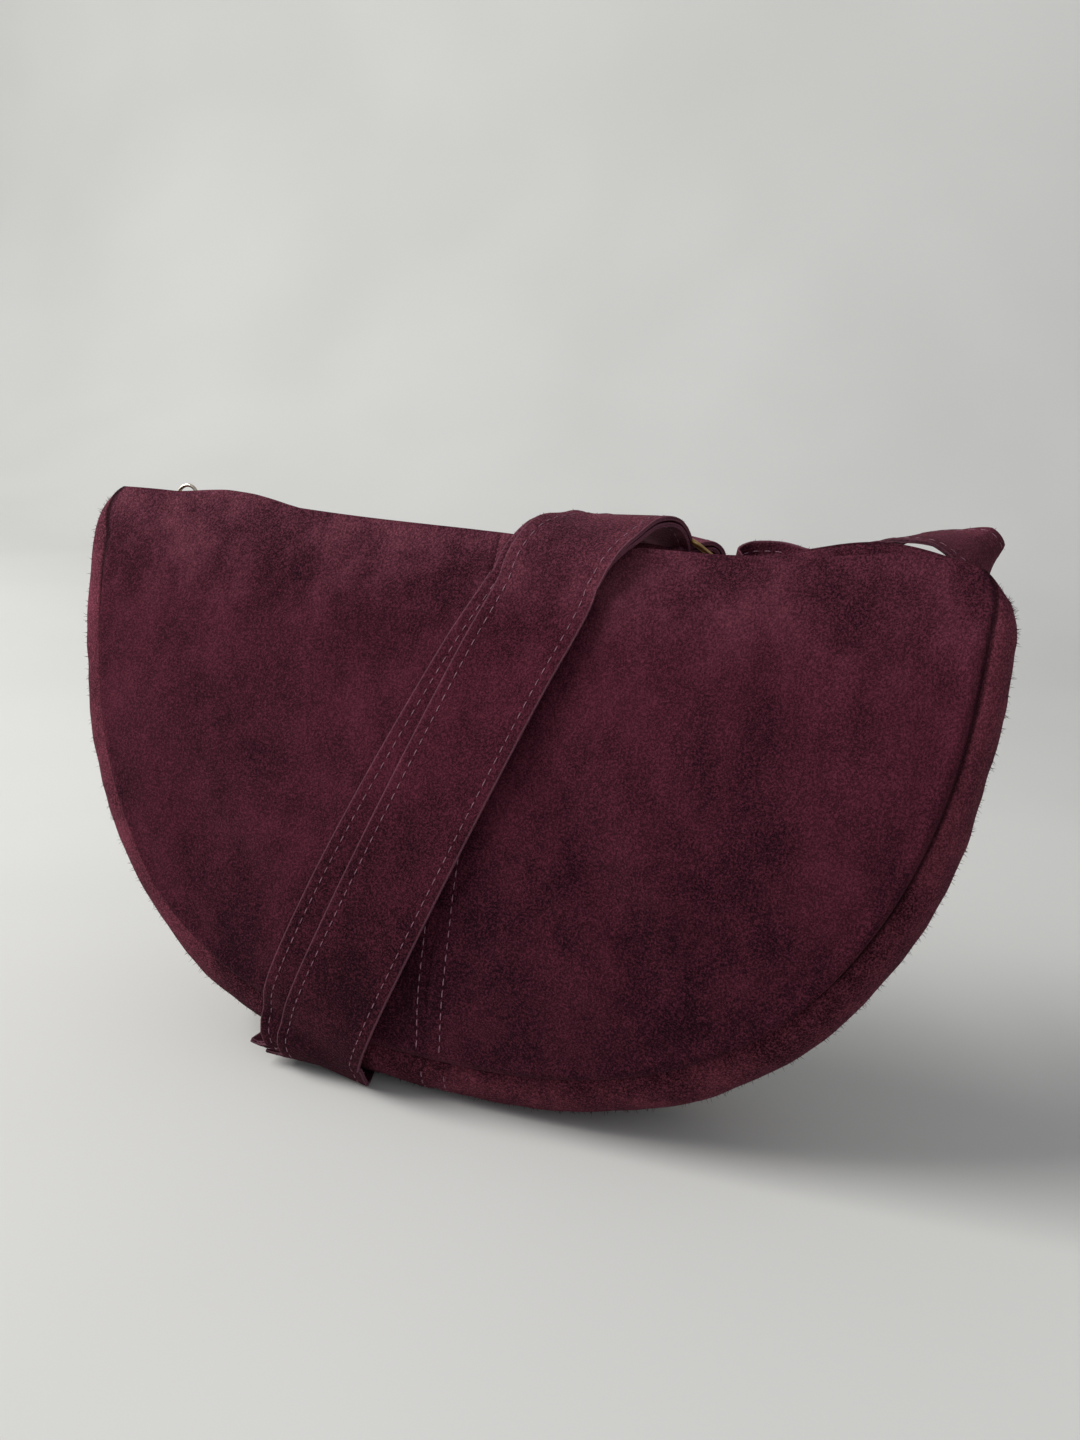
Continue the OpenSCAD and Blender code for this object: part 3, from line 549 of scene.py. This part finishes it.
def border_grid(face, drop):
    """One border: along the bag, and across from the top edge down to the mouth. A sine arch
    rounds its fold, a narrow bell curve sinks its sewn edge, and one along the bag makes the
    puff at the closed end."""
    x = np.linspace(-mouth_end, mouth_end, 260)[:, None]
    t = np.linspace(0, 1, 22)
    puff = (4.2 if face < 0 else 1.2) * np.exp(-(np.abs(x + 102) / 22) ** 2.6)
    rise = (0.9 * np.sin(np.pi * t ** 0.6) - 0.8 * np.exp(-(t / 0.1) ** 2)
            + puff * np.sin(np.pi * np.minimum(1, 1.25 * t ** 0.8)) ** 1.6)
    y = top_depth / 2 - fold_w * t
    point = points_at(x, face * y, bag_h - zip_drop * t + rise - drop)
    point[..., 2] += ripple(point, ((30, 0.22), (12, 0.12)), 21 + face) * np.sin(np.pi * t)
    return lean_back(top_form(point))


plain_suede = suede("plain_suede", colour(24, 3, 12), colour(103, 45, 61))
for face, name in front_back:
    piece(f"border_{name}", *shell(border_grid(face, 0), border_grid(face, 1.5)), plain_suede,
          "panel_suede", f"zip_border_{name}")


# Zip
# Two woven tapes carry the rows of metal teeth between the stops, which are the CAD's own with
# a finish. Past the stops the tapes turn in until they meet, and close the ends of the mouth.
tape_w, tape_t, tooth_pitch, tooth_edge, tooth_slot = 10.5, 0.6, 3, 2.7, 0.9
tooth_half, tooth_power = np.array([0.8, 1.12, 1.2]), 0.4
border_slope = zip_drop / fold_w
tape_z = bag_h - zip_drop - suede_t * np.sqrt(1 + border_slope ** 2) - 0.05 - tape_t / 2
zip_l = bag_w - 68


def metal(name, dark, light, rough):
    """Plated metal: a slight cloudiness in its colour and gloss, and fine rubbed marks."""
    finish, flow, shader = new_finish(name)
    place = flow.place()
    mark = place.noise(900, 3, 0.6, (1, 0.2, 1))
    tone = (place.noise(240, 3) * 0.6 + mark * 0.4).step(0.25, 0.75)
    flow.plug(shader, {"Base Color": tone.tint(dark, light), "Roughness": mark * 0.22 + rough,
                       "Metallic": 1, "Normal": mark.bump(0.15, 0.0001)})
    return finish


def all_round(count, side, over):
    """Ways to places all round a circle, from two that are square to each other: the one times
    the cosine of each place's angle, and the other times its sine."""
    a = np.linspace(0, 2 * np.pi, count + 1)[:-1, None]
    return np.cos(a) * side[..., None, :] + np.sin(a) * over[..., None, :]


def skin(index):
    """The faces of tubes whose rings of points are numbered in a grid."""
    turned = np.roll(index, -1, -1)
    return quads(index[..., :-1, :], turned[..., :-1, :], turned[..., 1:, :], index[..., 1:, :])


tape_cloth = woven("zip_tape", colour(70, 24, 36), colour(112, 48, 62), 0.0008)
zip_metal = metal("zip_metal", colour(196, 184, 166), colour(232, 224, 208), 0.16)
for face, name in front_back:
    x = np.linspace(1 - mouth_end, mouth_end - 1, 200)[:, None]
    near = tooth_edge * np.clip((zip_l / 2 + 9 - np.abs(x)) / 4, 0.03, 1)
    y = near + (tape_w + tooth_edge - near) * np.linspace(0, 1, 8)
    strip = points_at(x, face * y, tape_z + tape_t / 2)
    piece(f"tape_{name}", *shell(lean_back(strip), lean_back(strip - [0, 0, tape_t])), tape_cloth,
          "zip_tape", f"zip_tape_{name}")
    # A tooth is a rounded block: a superellipsoid on a small grid, repeated along the tape.
    count, rings, sides = int(zip_l / tooth_pitch), 7, 12
    a = np.linspace(-np.pi / 2, np.pi / 2, rings)[:, None, None]
    ball = np.cos(a) * all_round(sides, *np.eye(3)[:2]) + np.sin(a) * [0, 0, 1]
    block = tooth_half * power(ball, tooth_power)
    starts = (np.arange(count) + (0.5 if face < 0 else 0.42)) * tooth_pitch - zip_l / 2
    middle = points_at(starts, face * (tooth_slot / 2 + tooth_half[1]), tape_z)
    teeth = lean_back(middle[:, None, None] + block)
    faces = skin(np.arange(count * rings * sides).reshape(count, rings, sides))
    piece(f"teeth_{name}", teeth, faces, zip_metal, "zip_brass", f"zip_teeth_{name}")
for node in ("zip_stops_left", "zip_stop_right"):
    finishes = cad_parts[node].data.materials
    finishes.clear()
    finishes.append(zip_metal)


# Slider and pull
# A cast slider with a bridge, a flat link with its cross pin under the bridge, and a ring of
# round wire that hangs in the link's eye. All are plated in a pale gold.
def eased(name, node, width, body, finish):
    """A copy of a CAD node with its loose triangles merged and its edges rounded off."""
    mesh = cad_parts[node].data.copy()
    mesh.name = name
    smoothed(mesh, finish, 45)
    made = in_scene(name, mesh)
    weld = made.modifiers.new("weld", "WELD")
    weld.merge_threshold = 0.00001
    bevel = made.modifiers.new("bevel", "BEVEL")
    bevel.width, bevel.segments, bevel.limit_method = width * MM, 3, "ANGLE"
    bevel.angle_limit = np.radians(40)
    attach(made, body)
    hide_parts(node)


eased("slider_cast", "zip_slider", 0.25, "slider", zip_metal)
eased("pull_link_flat", "zip_pull_link", 0.18, "pull_link", zip_metal)


def tube(path, radius, closed=True):
    """A round wire along a path: circles square to it, in frames that turn with the path's
    own plane. An open wire's ends are drawn in to a point."""
    ahead = np.roll(path, -1, 0) - np.roll(path, 1, 0)
    if not closed:
        ahead[0], ahead[-1] = path[1] - path[0], path[-1] - path[-2]
    ahead = unit(ahead)
    flat = np.linalg.svd(path - path.mean(0))[2][2]
    if abs(flat @ ahead[0]) > 0.9:
        flat = np.roll(flat, 1)
    out, sides = unit(np.cross(ahead, flat)), 16
    size = np.full((len(path), 1, 1), float(radius))
    if not closed:
        size[[0, -1]] = radius * 0.02
    points = (path[:, None] + size * all_round(sides, out, np.cross(ahead, out))).reshape(-1, 3)
    index = np.arange(len(points)).reshape(-1, sides)
    if closed:
        index = np.concatenate([index, index[:1]])
    return points, outward(points, skin(index))


# The link turns on its pin 3.7 mm past the zip's end, and 3.85 mm over the tape.
pin_in, pin_up, link_l, pull_r, pull_wire = 3.7, 3.85, 5, 3.9, 1.288
lift, swing = np.radians([32, 57])
hang = [pin_in - zip_l / 2 - link_l * np.cos(lift) - pull_r * np.cos(swing), 0,
        tape_z + pin_up + link_l * np.sin(lift) + pull_r * np.sin(swing)]
ring = hang + pull_r * all_round(64, *np.eye(3)[::2])
piece("pull_ring_wire", *tube(lean_back(ring), pull_wire / 2), zip_metal, "zip_brass", "zip_pull_ring",
      body="pull_ring")


# Ring tabs and strap rings
# Behind the bag, near each top corner, a strip of suede is folded round the bar of a wire ring,
# and its two ends are sewn flat on the back panel.
ring_wire, ring_l, ring_span, strap_t = 3, 12, 37, 1.6
tab_t, tab_w, tab_l, tab_back, tail_t = 1.3, 28, 20, 2.9, 2.6
loop_play, tail_play, hang_play, tab_gap = 0.8, 0.8, 1.6, 0.25
tab_x, tab_z, loop_r = half_w - 30, bag_h - 32, ring_wire / 2 + loop_play + strap_t / 2
tab_y = belly(tab_x, tab_z) + tab_gap + tab_back
tab_tilt, tab_pitch, tab_turn = np.radians([25, 11, 3])
hang_angle = np.arcsin((tail_t - tab_back + tail_play + strap_t / 2 + loop_r + hang_play) / ring_l)
ring_angles = {-1: -np.pi + hang_angle, 1: np.radians(-12)}


def from_tab(p, side):
    """Ways in a tab's own frame, as ways in the bag's: tilted outwards and laid on the panel."""
    return spin(spin(spin(p, 1, side * tab_tilt), 0, tab_pitch), 2, -side * tab_turn)


def tab_place(p, side):
    """Points in a tab's own frame, as points in the bag's."""
    return np.array([side * tab_x, tab_y, tab_z]) + from_tab(p, side)


def rounded_loop(w, h, r):
    """A rectangle's outline with rounded corners, w by h, about its own middle: a quarter circle
    round each corner's centre."""
    a = np.linspace(0, np.pi / 2, 10) + np.pi / 2 * np.arange(4)[:, None]
    x, y = np.array([1, -1, -1, 1])[:, None], np.array([1, 1, -1, -1])[:, None]
    return points_at(x * (w / 2 - r) + r * np.cos(a), y * (h / 2 - r) + r * np.sin(a)).reshape(-1, 2)


tab_lines = []
ring_metal = metal("ring_metal", colour(150, 118, 72), colour(196, 162, 108), 0.24)
for side, name in left_right:
    # The ring: the wire's line is a rounded rectangle that stands on the tab's bar.
    loop = rounded_loop(ring_span, ring_l, 2.6)
    wire = points_at(loop[:, 0], 0, loop[:, 1] + ring_l / 2)
    wire = tab_place(spin(wire, 0, ring_angles[side]), side)
    piece(f"ring_{name}", *tube(lean_back(wire), ring_wire / 2), ring_metal, "ring_brass",
          f"strap_ring_{name}", body=f"{name}_ring")
    # The tab: a strip whose line runs up the panel, round the bar and down again.
    a = np.linspace(np.pi, 0, 26)
    r = tab_back - tab_t / 2
    down = np.linspace(0, 1, 18)[1:]
    y = np.concatenate([np.full(16, -r), r * np.cos(a), r - (r + 0.95) * np.minimum(1, down * 2.2) ** 0.8])
    z = np.concatenate([np.linspace(-tab_l, -0.4, 16), r * np.sin(a), -tab_l * down])
    way = unit(np.stack([np.gradient(y), np.gradient(z)], -1))
    x = np.linspace(-tab_w / 2, tab_w / 2, 30)
    outer, inner = (lean_back(tab_place(points_at(x, (y + way[:, 1] * off)[:, None],
                                                  (z - way[:, 0] * off)[:, None]), side))
                    for off in (-tab_t / 2, tab_t / 2))
    piece(f"tab_{name}", *shell(outer, inner), plain_suede, "gusset_suede", f"ring_tab_{name}")
    for row in (-3, -10):
        for grid, other in ((outer, inner), (inner, outer)):
            if grid[row, 0, 1] > other[row, 0, 1]:
                tab_lines.append((grid[row, 2:-2], unit(grid[row, 2:-2] - other[row, 2:-2])))


# Strap
# A wide flat strap of two plies of suede, sewn together along both raw edges. It starts at the
# adjuster, runs down the front and under the bag to the left ring, comes back over itself, and
# goes through the adjuster to the right ring.
strap_w, ply_t, ply_gap, strap_gap, run_slip, pair_gap = 32, 0.75, 0.1, 0.9, 10.5, 0.4
bar_d, bar_step, bar_play, stitch_at = 2, 10.5, 1, 0.78

# The route, as points and as the way to the strap's right edge, in the bag's own frame. On the
# panels it is in shares of the bag's half length and height, and under it of its half sizes.
back_run = np.array([[-0.7, 0.63], [-0.63, 0.52], [-0.55, 0.4], [-0.47, 0.28], [-0.405, 0.18]])
front_run = np.array([[-0.228, 0.145], [-0.157, 0.3], [-0.087, 0.46], [-0.018, 0.62],
                      [0.051, 0.78], [0.106, 0.9]])
under_run = [[-0.365, 0.96], [-0.345, 0.7], [-0.305, 0], [-0.262, -0.7], [-0.263, -0.96]]
arch_run = [[18.5, -15.6, 181.5], [23, -13, 188.5], [28.5, -6, 193.5], [33.5, 1.5, 197],
            [37, 11.5, 197.5]]
arch_edge = [[0.91, 0, -0.41], [0.98, -0.04, -0.17], [0.99, -0.09, 0], [0.98, -0.12, 0.08],
             [0.93, -0.35, 0.03]]
rear_run = [[63, 50, 181], [71, 51, 183], [81, 49, 183.5], [93, 45, 182], [102, 45, 187],
            [109, 42.5, 195.5], [117, 40, 202], [125, 39.5, 205], [135.5, 39.5, 206],
            [143.5, 39.5, 204.5], [148.5, 40.5, 200], [149, 42, 193], [144, 42, 186]]
rear_edge = [[0.2, -0.4, 0.9], [0.05, -0.25, 0.96], [0, -0.2, 0.98], [0, -0.15, 0.99], [0, -0.65, 0.76],
             [0.05, -0.92, 0.35], [-0.1, -0.98, 0], [-0.26, -0.96, -0.14], [-0.35, -0.92, -0.19],
             [-0.39, -0.85, -0.35], [-0.3, -0.88, -0.36], [0.05, -0.9, -0.4], [0.55, -0.65, -0.45]]
back_edge, front_edge = [0.91, 0, 0.42], [0.94, 0, -0.33]

adjust_at = np.array([50, 36.72, 192.38])
adjust_edge = unit(np.array([0.65, -0.74, -0.08]))
adjust_way = unit(np.cross(unit(np.array([0.3, 0.35, 0.88])), adjust_edge))
adjust_face = np.cross(adjust_edge, adjust_way)
end_loop_r = bar_d / 2 + bar_play + strap_t / 2
under_bar, over_bar = -end_loop_r, end_loop_r + strap_t + pair_gap
inner_run = strap_gap + strap_t / 2
outer_run = inner_run + strap_t + pair_gap
adjust_base = under_bar - strap_t - pair_gap - inner_run


def on_adjuster(*spots):
    """Rows of the route at places in the adjuster's own frame: along it, and above it."""
    return [(adjust_at + adjust_way * way + adjust_face * high, adjust_edge) for way, high in spots]


def round_bar(r, *degrees):
    """Rows of the route on a circle round the adjuster's middle bar."""
    return on_adjuster(*[(r * np.sin(a), r * np.cos(a)) for a in np.radians(degrees)])


def smooth_run(rows, square=1.0):
    """A smooth ribbon through the rows: Hermite curves whose tangents follow the neighbours,
    with the edge's way blended between rows and turned square to the line, or partly so where
    the strap twists. Each place has a point, right and face, and can be another ribbon's row."""
    points = np.array([row[0] for row in rows], float)
    edges = unit(np.array([row[1] for row in rows], float))
    before, start, end, after = points[:-3], points[1:-2], points[2:-1], points[3:]
    steps = 6
    t = np.arange(steps)[:, None] / steps
    reach = np.linalg.norm(end - start, axis=1, keepdims=True)
    leave = (unit(end - before) * reach)[:, None]
    arrive = (unit(after - start) * reach)[:, None]
    curve = (start[:, None] + (3 * t ** 2 - 2 * t ** 3) * (end - start)[:, None]
             + t * (1 - t) * ((1 - t) * leave - t * arrive)).reshape(-1, 3)
    line = np.concatenate([points[:1], curve, points[-2:]])
    edge = (edges[1:-2, None] * (1 - t) + edges[2:-1, None] * t).reshape(-1, 3)
    edge = np.concatenate([edge, edges[-2:-1]])
    way = unit(unit(line[1:-1] - line[:-2]) + unit(line[2:] - line[1:-1]))
    rightward = unit(edge - square * way * (edge * way).sum(-1, keepdims=True))
    return np.stack([line[1:-1], rightward, unit(np.cross(rightward, way))], 1)


def wall_rows(run, face, edge):
    """Rows on the face of the bag at shares of its half length and its height."""
    x, z = run[:, 0] * half_w, run[:, 1] * bag_h
    return [(np.array([a, face * b, c]), edge) for a, b, c in zip(x, belly(x, z), z)]


def ring_end(side):
    """The strap at a ring: its place and way on the bar, and the rows of its half turn round it."""
    bar, edge = spin([0, 0, ring_l], 0, ring_angles[side]), from_tab(np.array([1.0, 0, 0]), side)
    turn = [(tab_place(bar + side * loop_r * np.array([0, np.cos(a), -np.sin(a)]), side), edge)
            for a in np.radians([0, 45, 90, 135, 180])]
    return bar, edge, turn


(left_bar, left_edge, left_turn), (right_bar, right_edge, right_turn) = ring_end(-1), ring_end(1)


def base_z(x, w):
    """The height of the gusset's underside at a place along the bag and a share of its half
    depth: the outline, rounded up to the seam by a rounded square."""
    low = centre_z - centre_z * (1 - (np.abs(x) / half_w) ** outline_power) ** (1 / outline_power)
    return low + seam_base * (1 - np.sqrt(1 - np.abs(w) ** roll_power))


under_rows = []
for u, w in under_run:
    x = u * half_w
    rise = (base_z(x + 10, w) - base_z(x - 10, w)) / 20 * (1.8 if w < 0 else 1)
    edge = back_edge if w > 0.9 else front_edge if w < -0.9 else [0.97, 0.24, rise]
    under_rows.append((np.array([x, w * base_half, base_z(x, w)]), edge))
pair = smooth_run([(tab_place(left_bar, -1), left_edge)] + wall_rows(back_run, 1, back_edge) + under_rows
                  + wall_rows(front_run, -1, front_edge) + list(zip(arch_run, arch_edge))
                  + on_adjuster((-1.2 * bar_step, adjust_base), (-0.9 * bar_step, adjust_base)))
# The inner layer slips aside from the outer one, and a little less at the foot of the front run.
slip = run_slip * np.sin(np.pi * np.linspace(0, 1, len(pair))) ** 4
slip = (slip * (1 - swells(np.arange(len(pair)), ((49, 5, 0.3),))))[:, None]
inner = np.stack([pair[:, 0] + pair[:, 2] * inner_run - pair[:, 1] * slip, pair[:, 1], -pair[:, 2]], 1)[::-1]
outer = np.stack([pair[:, 0] + pair[:, 2] * outer_run, pair[:, 1], pair[:, 2]], 1)
sewn = smooth_run(on_adjuster(*[(w * bar_step, under_bar - 1.5 * strap_t) for w in (-1.2, -0.62)])
                  + round_bar(end_loop_r, 180, 135, 90, 45, 0, -34)
                  + on_adjuster((-bar_step, under_bar - strap_t - 2 * pair_gap)) + list(inner[:2]))
left = smooth_run(list(inner[-2:]) + left_turn + list(outer[:2]))
rear = smooth_run(list(outer[-2:]) + on_adjuster((-bar_step, under_bar)) + round_bar(over_bar, -34, 34)
                  + on_adjuster((bar_step, under_bar), (1.5 * bar_step, 1.1 * under_bar))
                  + list(zip(rear_run, rear_edge))
                  + [(tab_place(right_bar + [0, loop_r, strap_w / 4], 1), right_edge)] + right_turn
                  + [(tab_place(right_bar + [0, -loop_r, up], 1), right_edge) for up in (9.6, 19.2)],
                  square=0.3)
places = np.concatenate([sewn[:-1], inner, left[1:-1], outer, rear[1:]])
station = np.arange(len(places))[:, None]
is_inner = station < len(sewn) + len(pair) + len(left) // 2
on_bag = (station >= len(sewn)) & (station <= len(places) - len(rear))


def strap_surface(across, off):
    """The strap at places across it, from -1 to 1, and at a height off its middle. It keeps off
    the panels where it runs over them, and off the floor where it runs under the bag."""
    point = (places[:, :1] + places[:, 1:2] * (np.array(across) * strap_w / 2)[:, None]
             + places[:, 2:] * np.atleast_1d(off)[:, None])
    x, y, z = np.moveaxis(point, -1, 0)
    need = np.where(on_bag, np.where(is_inner, inner_run - off, outer_run + off), 0)
    full = (1 - (1 - np.clip(z / seam_base, 0, 1)) ** 2) ** (1 / roll_power)
    least = (belly(x, z) + need) * full - edge_roll * ease(1 - (bag_h - z) / top_roll) ** 2
    held = (z > 0) & (z < bag_h - 2) & (np.abs(y) < least)
    point = lean_back(points_at(x, np.where(held, np.sign(y) * least, y), z))
    floor_z = np.where(is_inner, 1.5 * strap_t + pair_gap + off, strap_t / 2 - off)
    point[..., 2] = np.maximum(point[..., 2], floor_z)
    return point


def far_along(line):
    """How far along a line each of its points is."""
    return np.append(0, np.cumsum(np.linalg.norm(np.diff(line, axis=0), axis=1)))


def ply(low, high):
    """One ply as a closed ribbon, with rounded raw edges and a slight hollow under each row of
    stitches. Its UV map runs across it and along it, in metres."""
    s = np.linspace(-1, 1, 29)
    s = (np.sin(np.pi / 2 * s) + s) / 2
    dip = swells(np.abs(s), ((stitch_at, 0.05, 0.14),)) + 0.16 * np.abs(s) ** 40
    top, under = (high - dip, low) if abs(high) > abs(low) else (high, low + dip)
    upper, lower = strap_surface(s, top), strap_surface(s, under)
    uv = points_at(s * strap_w / 2, far_along(upper[:, 14])[:, None]).reshape(-1, 2) * MM
    return *shell(upper, lower), np.concatenate([uv, uv])


strap_suede = suede("strap_suede", colour(22, 3, 11), colour(101, 43, 59), 0.9, strap_w / 2 * MM)
for name, low in (("face", ply_gap / 2), ("backing", -ply_gap / 2 - ply_t)):
    points, faces, uv = ply(low, low + ply_t)
    piece(f"strap_{name}_ply", points, faces, strap_suede, "strap_suede", f"strap_{name}", uv=uv)


# Adjuster
# A sliding frame of round brass wire: an outer loop and a middle bar, which the sewn end of the
# strap goes round.
loop = rounded_loop(strap_w + 2 * bar_d, 2 * bar_step, 2.2)
wire = adjust_at + loop[:, :1] * adjust_edge + loop[:, 1:] * adjust_way
bar = adjust_at + np.linspace(-1, 1, 12)[:, None] * (strap_w / 2 + bar_d) * adjust_edge
parts = [tube(lean_back(wire), bar_d / 2), tube(lean_back(bar), bar_d / 2, closed=False)]
piece("adjuster_frame", *join(parts), ring_metal, "ring_brass", "strap_adjuster", body="adjuster")


# Stitches
# Pale mauve thread. Each stitch is a short bent piece of thread that rises out of the suede and
# goes back into it.
def on_line(line, far, at):
    """A line's points, which lie at distances along it, as they are at other distances."""
    return np.stack([np.interp(at, far, line[:, k]) for k in range(3)], -1)


def stitches(name, lines, slot, pitch=4.0, thick=0.34):
    """Rows of stitches along lines of points with the ways that face out. Each one is a small
    tube of five rings and six sides, raised by a sine arch."""
    t = np.linspace(0, 1, 5)
    rise = ((0.5 * np.sin(np.pi * t) - 0.22) * thick * 1.3)[:, None]
    size = thick * np.array([0.25, 0.9, 1, 0.9, 0.25])[:, None, None] / 2 * 1.15
    parts = []
    for line, face in lines:
        far = far_along(line)
        count = int(far[-1] / pitch)
        at = (np.arange(count)[:, None] + 0.14 + 0.72 * t) * pitch
        spot, out = on_line(line, far, at), unit(on_line(face, far, at))
        side = unit(np.cross(unit(np.gradient(spot, axis=1)), out))
        ring = (spot + out * rise)[:, :, None] + size * all_round(6, side, out)
        index = np.arange(count * 30).reshape(count, 5, 6)
        caps = np.concatenate([index[:, 0][:, [[0, 1, 2, 3], [0, 3, 4, 5]]],
                               index[:, 4][:, [[3, 2, 1, 0], [5, 4, 3, 0]]]], 1)
        faces = np.concatenate([skin(index)[:, [0, 3, 2, 1]], caps.reshape(-1, 4)])
        parts.append((ring.reshape(-1, 3), faces))
    piece(name, *join(parts), thread, slot)


thread, flow, shader = new_finish("thread")
place = flow.place()
tone = place.noise(1500, 2).step(0.3, 0.7).tint(colour(104, 62, 78), colour(150, 106, 122))
flow.plug(shader, {"Base Color": tone, "Roughness": 0.7, "Normal": place.noise(3500, 2).bump(0.5, 0.0002)})

lines = []
for off in (ply_gap / 2 + ply_t, -ply_gap / 2 - ply_t):
    top, lower = (strap_surface([-stitch_at, stitch_at], h) for h in (off - 0.12 * np.sign(off), 0))
    lines += [(top[:, k], unit(top[:, k] - lower[:, k])) for k in (0, 1)]
stitches("strap_stitches", lines, "strap_suede", thick=0.3)


def crossing(grid, x):
    """Where each line of a grid crosses a place along the bag: its points, one for a line."""
    rows = [line if line[0, 0] < line[-1, 0] else line[::-1] for line in grid]
    return np.array([on_line(row, row[:, 0], x) for row in rows])


def sewn_line(grid, x, way):
    """A row of stitches over a grid at a place along the bag, with the ways that face out."""
    line = crossing(grid, x)
    across = crossing(grid, x + 0.6) - crossing(grid, x - 0.6)
    face = unit(np.cross(np.gradient(line, axis=0), across))
    return line, face * np.sign((face * way).sum(-1, keepdims=True))


# The open seams down the middle have a row on each side, on the panels and on the gusset.
beside_join = ((-1, join_x - 3.4), (1, join_x + 4.8))
for face, name in front_back:
    lines = [sewn_line(panel_grid(side, face, 0)[34 if face < 0 else 3:-6], x, [0, face, 0])
             for side, x in beside_join]
    stitches(f"panel_{name}_stitches", lines, "panel_suede")
lines = [sewn_line(gusset_grid(side, 0)[200:].swapaxes(0, 1)[3:-3], x, [0, 0, -1])
         for side, x in beside_join]
stitches("gusset_stitches", lines, "gusset_suede")
stitches("tab_stitches", tab_lines, "gusset_suede", pitch=3.2)
for face, name in front_back:
    grid = border_grid(face, 0)[8:-8]
    line = grid[:, 17]
    out = unit(np.cross(np.gradient(line, axis=0), face * (grid[:, 16] - grid[:, 18])))
    stitches(f"border_{name}_stitches", [(line, out)], "panel_suede", pitch=3.2)


# Loose fibres
# The nap stands up as a short fuzz along the gusset's outline and the strap's cut edges. Each
# fibre is a thin three-sided spike, bent over by chance.
def fuzz(name, spots, ways, length, slot, seed):
    """Spikes at places with the ways that face out. Each has three points round its foot and
    one at its tip, whose way is turned by a random amount. None goes through the floor."""
    draw = np.random.default_rng(seed)
    count = len(spots)
    way = unit(ways + 0.75 * draw.normal(size=(count, 3)))
    side = unit(np.cross(way, draw.normal(size=(count, 3))))
    foot = (spots - 0.3 * ways)[:, None] + 0.12 * all_round(3, side, np.cross(way, side))
    tall = length * draw.uniform(0.4, 1.2, (count, 1))
    points = np.concatenate([foot, (spots + way * tall)[:, None]], 1).reshape(-1, 3)
    points[:, 2] = np.maximum(points[:, 2], 0.05)
    start = 4 * np.arange(count)[:, None]
    faces = np.concatenate([start + f for f in ([0, 1, 3], [1, 2, 3], [2, 0, 3], [2, 1, 0])])
    piece(name, points, faces, plain_suede, slot)


draw = np.random.default_rng(5)
gusset_fibres, strap_fibres = 1700, 900
for side, name in left_right:
    outer, inner = gusset_grid(side, 0), gusset_grid(side, suede_t)
    row = draw.integers(4, len(outer) - 4, gusset_fibres)
    col = draw.integers(6, 35, gusset_fibres)
    share = draw.uniform(0, 1, (gusset_fibres, 1))
    spots = outer[row, col] * share + outer[row + 1, col] * (1 - share)
    ways = unit(outer[row, col] - inner[row, col])
    fuzz(f"gusset_fuzz_{name}", spots, ways, 1.8, "gusset_suede", 7 + side)
for end, name in left_right:
    edge, inside = strap_surface([end], 0.2)[:, 0], strap_surface([end * 0.9], 0.2)[:, 0]
    at = draw.uniform(0, len(edge) - 1, strap_fibres)
    spots, roots = (on_line(line, np.arange(len(edge)), at) for line in (edge, inside))
    fuzz(f"strap_fuzz_{name}", spots, unit(spots - roots), 1.1, "strap_suede", 17 + end)


# Floor and light
# A pale sweep of card, a large soft window light from the left, and a weak fill.
floor_finish, flow, shader = new_finish("floor_card")
tone = flow.place().noise(3, 2).step(0.2, 0.8).tint(colour(207, 207, 204), colour(215, 215, 212))
flow.plug(shader, {"Base Color": tone, "Roughness": 0.9, "Specular IOR Level": 0.2})
bend = np.linspace(0, np.pi / 2, 16)[1:]
run = np.concatenate([np.linspace(-2.5, 0.9, 12), 0.9 + 0.6 * np.sin(bend), np.full(6, 1.5)])
rise = np.concatenate([np.zeros(12), 0.6 - 0.6 * np.cos(bend), np.linspace(0.9, 4, 6)])
sweep = points_at([[-3], [3]], run, rise).reshape(-1, 3)
index = np.arange(len(sweep)).reshape(2, -1)
faces = quads(index[0, :-1], index[1, :-1], index[1, 1:], index[0, 1:])
mesh = bpy.data.meshes.new("floor")
mesh.from_pydata(sweep.tolist(), [], faces.tolist())
smoothed(mesh, floor_finish)
floor = in_scene("floor", mesh)


def lamp(name, place, aim, size, watts, shade):
    """A soft square lamp at a place, turned to shine on the aim."""
    data = bpy.data.lights.new(name, "AREA")
    data.shape, data.size, data.size_y = "RECTANGLE", size, size
    data.energy, data.color = watts, shade
    way = (Vector(place) - Vector(aim)).to_track_quat("Z", "Y")
    in_scene(name, data).matrix_world = Matrix.Translation(place) @ way.to_matrix().to_4x4()


lamp("window", (-1.5, -0.6, 1.35), (0, 0, 0.08), 1.0, 44, (1, 0.99, 0.97))
lamp("fill", (1.2, -1.6, 1.3), (0, 0, 0.1), 1.6, 3, (0.97, 0.98, 1))
world = bpy.data.worlds.new("world")
bpy.context.scene.world = world
world.use_nodes = True
sky = world.node_tree.nodes["Background"].inputs
sky["Color"].default_value = (0.93, 0.95, 1, 1)
sky["Strength"].default_value = 0.4
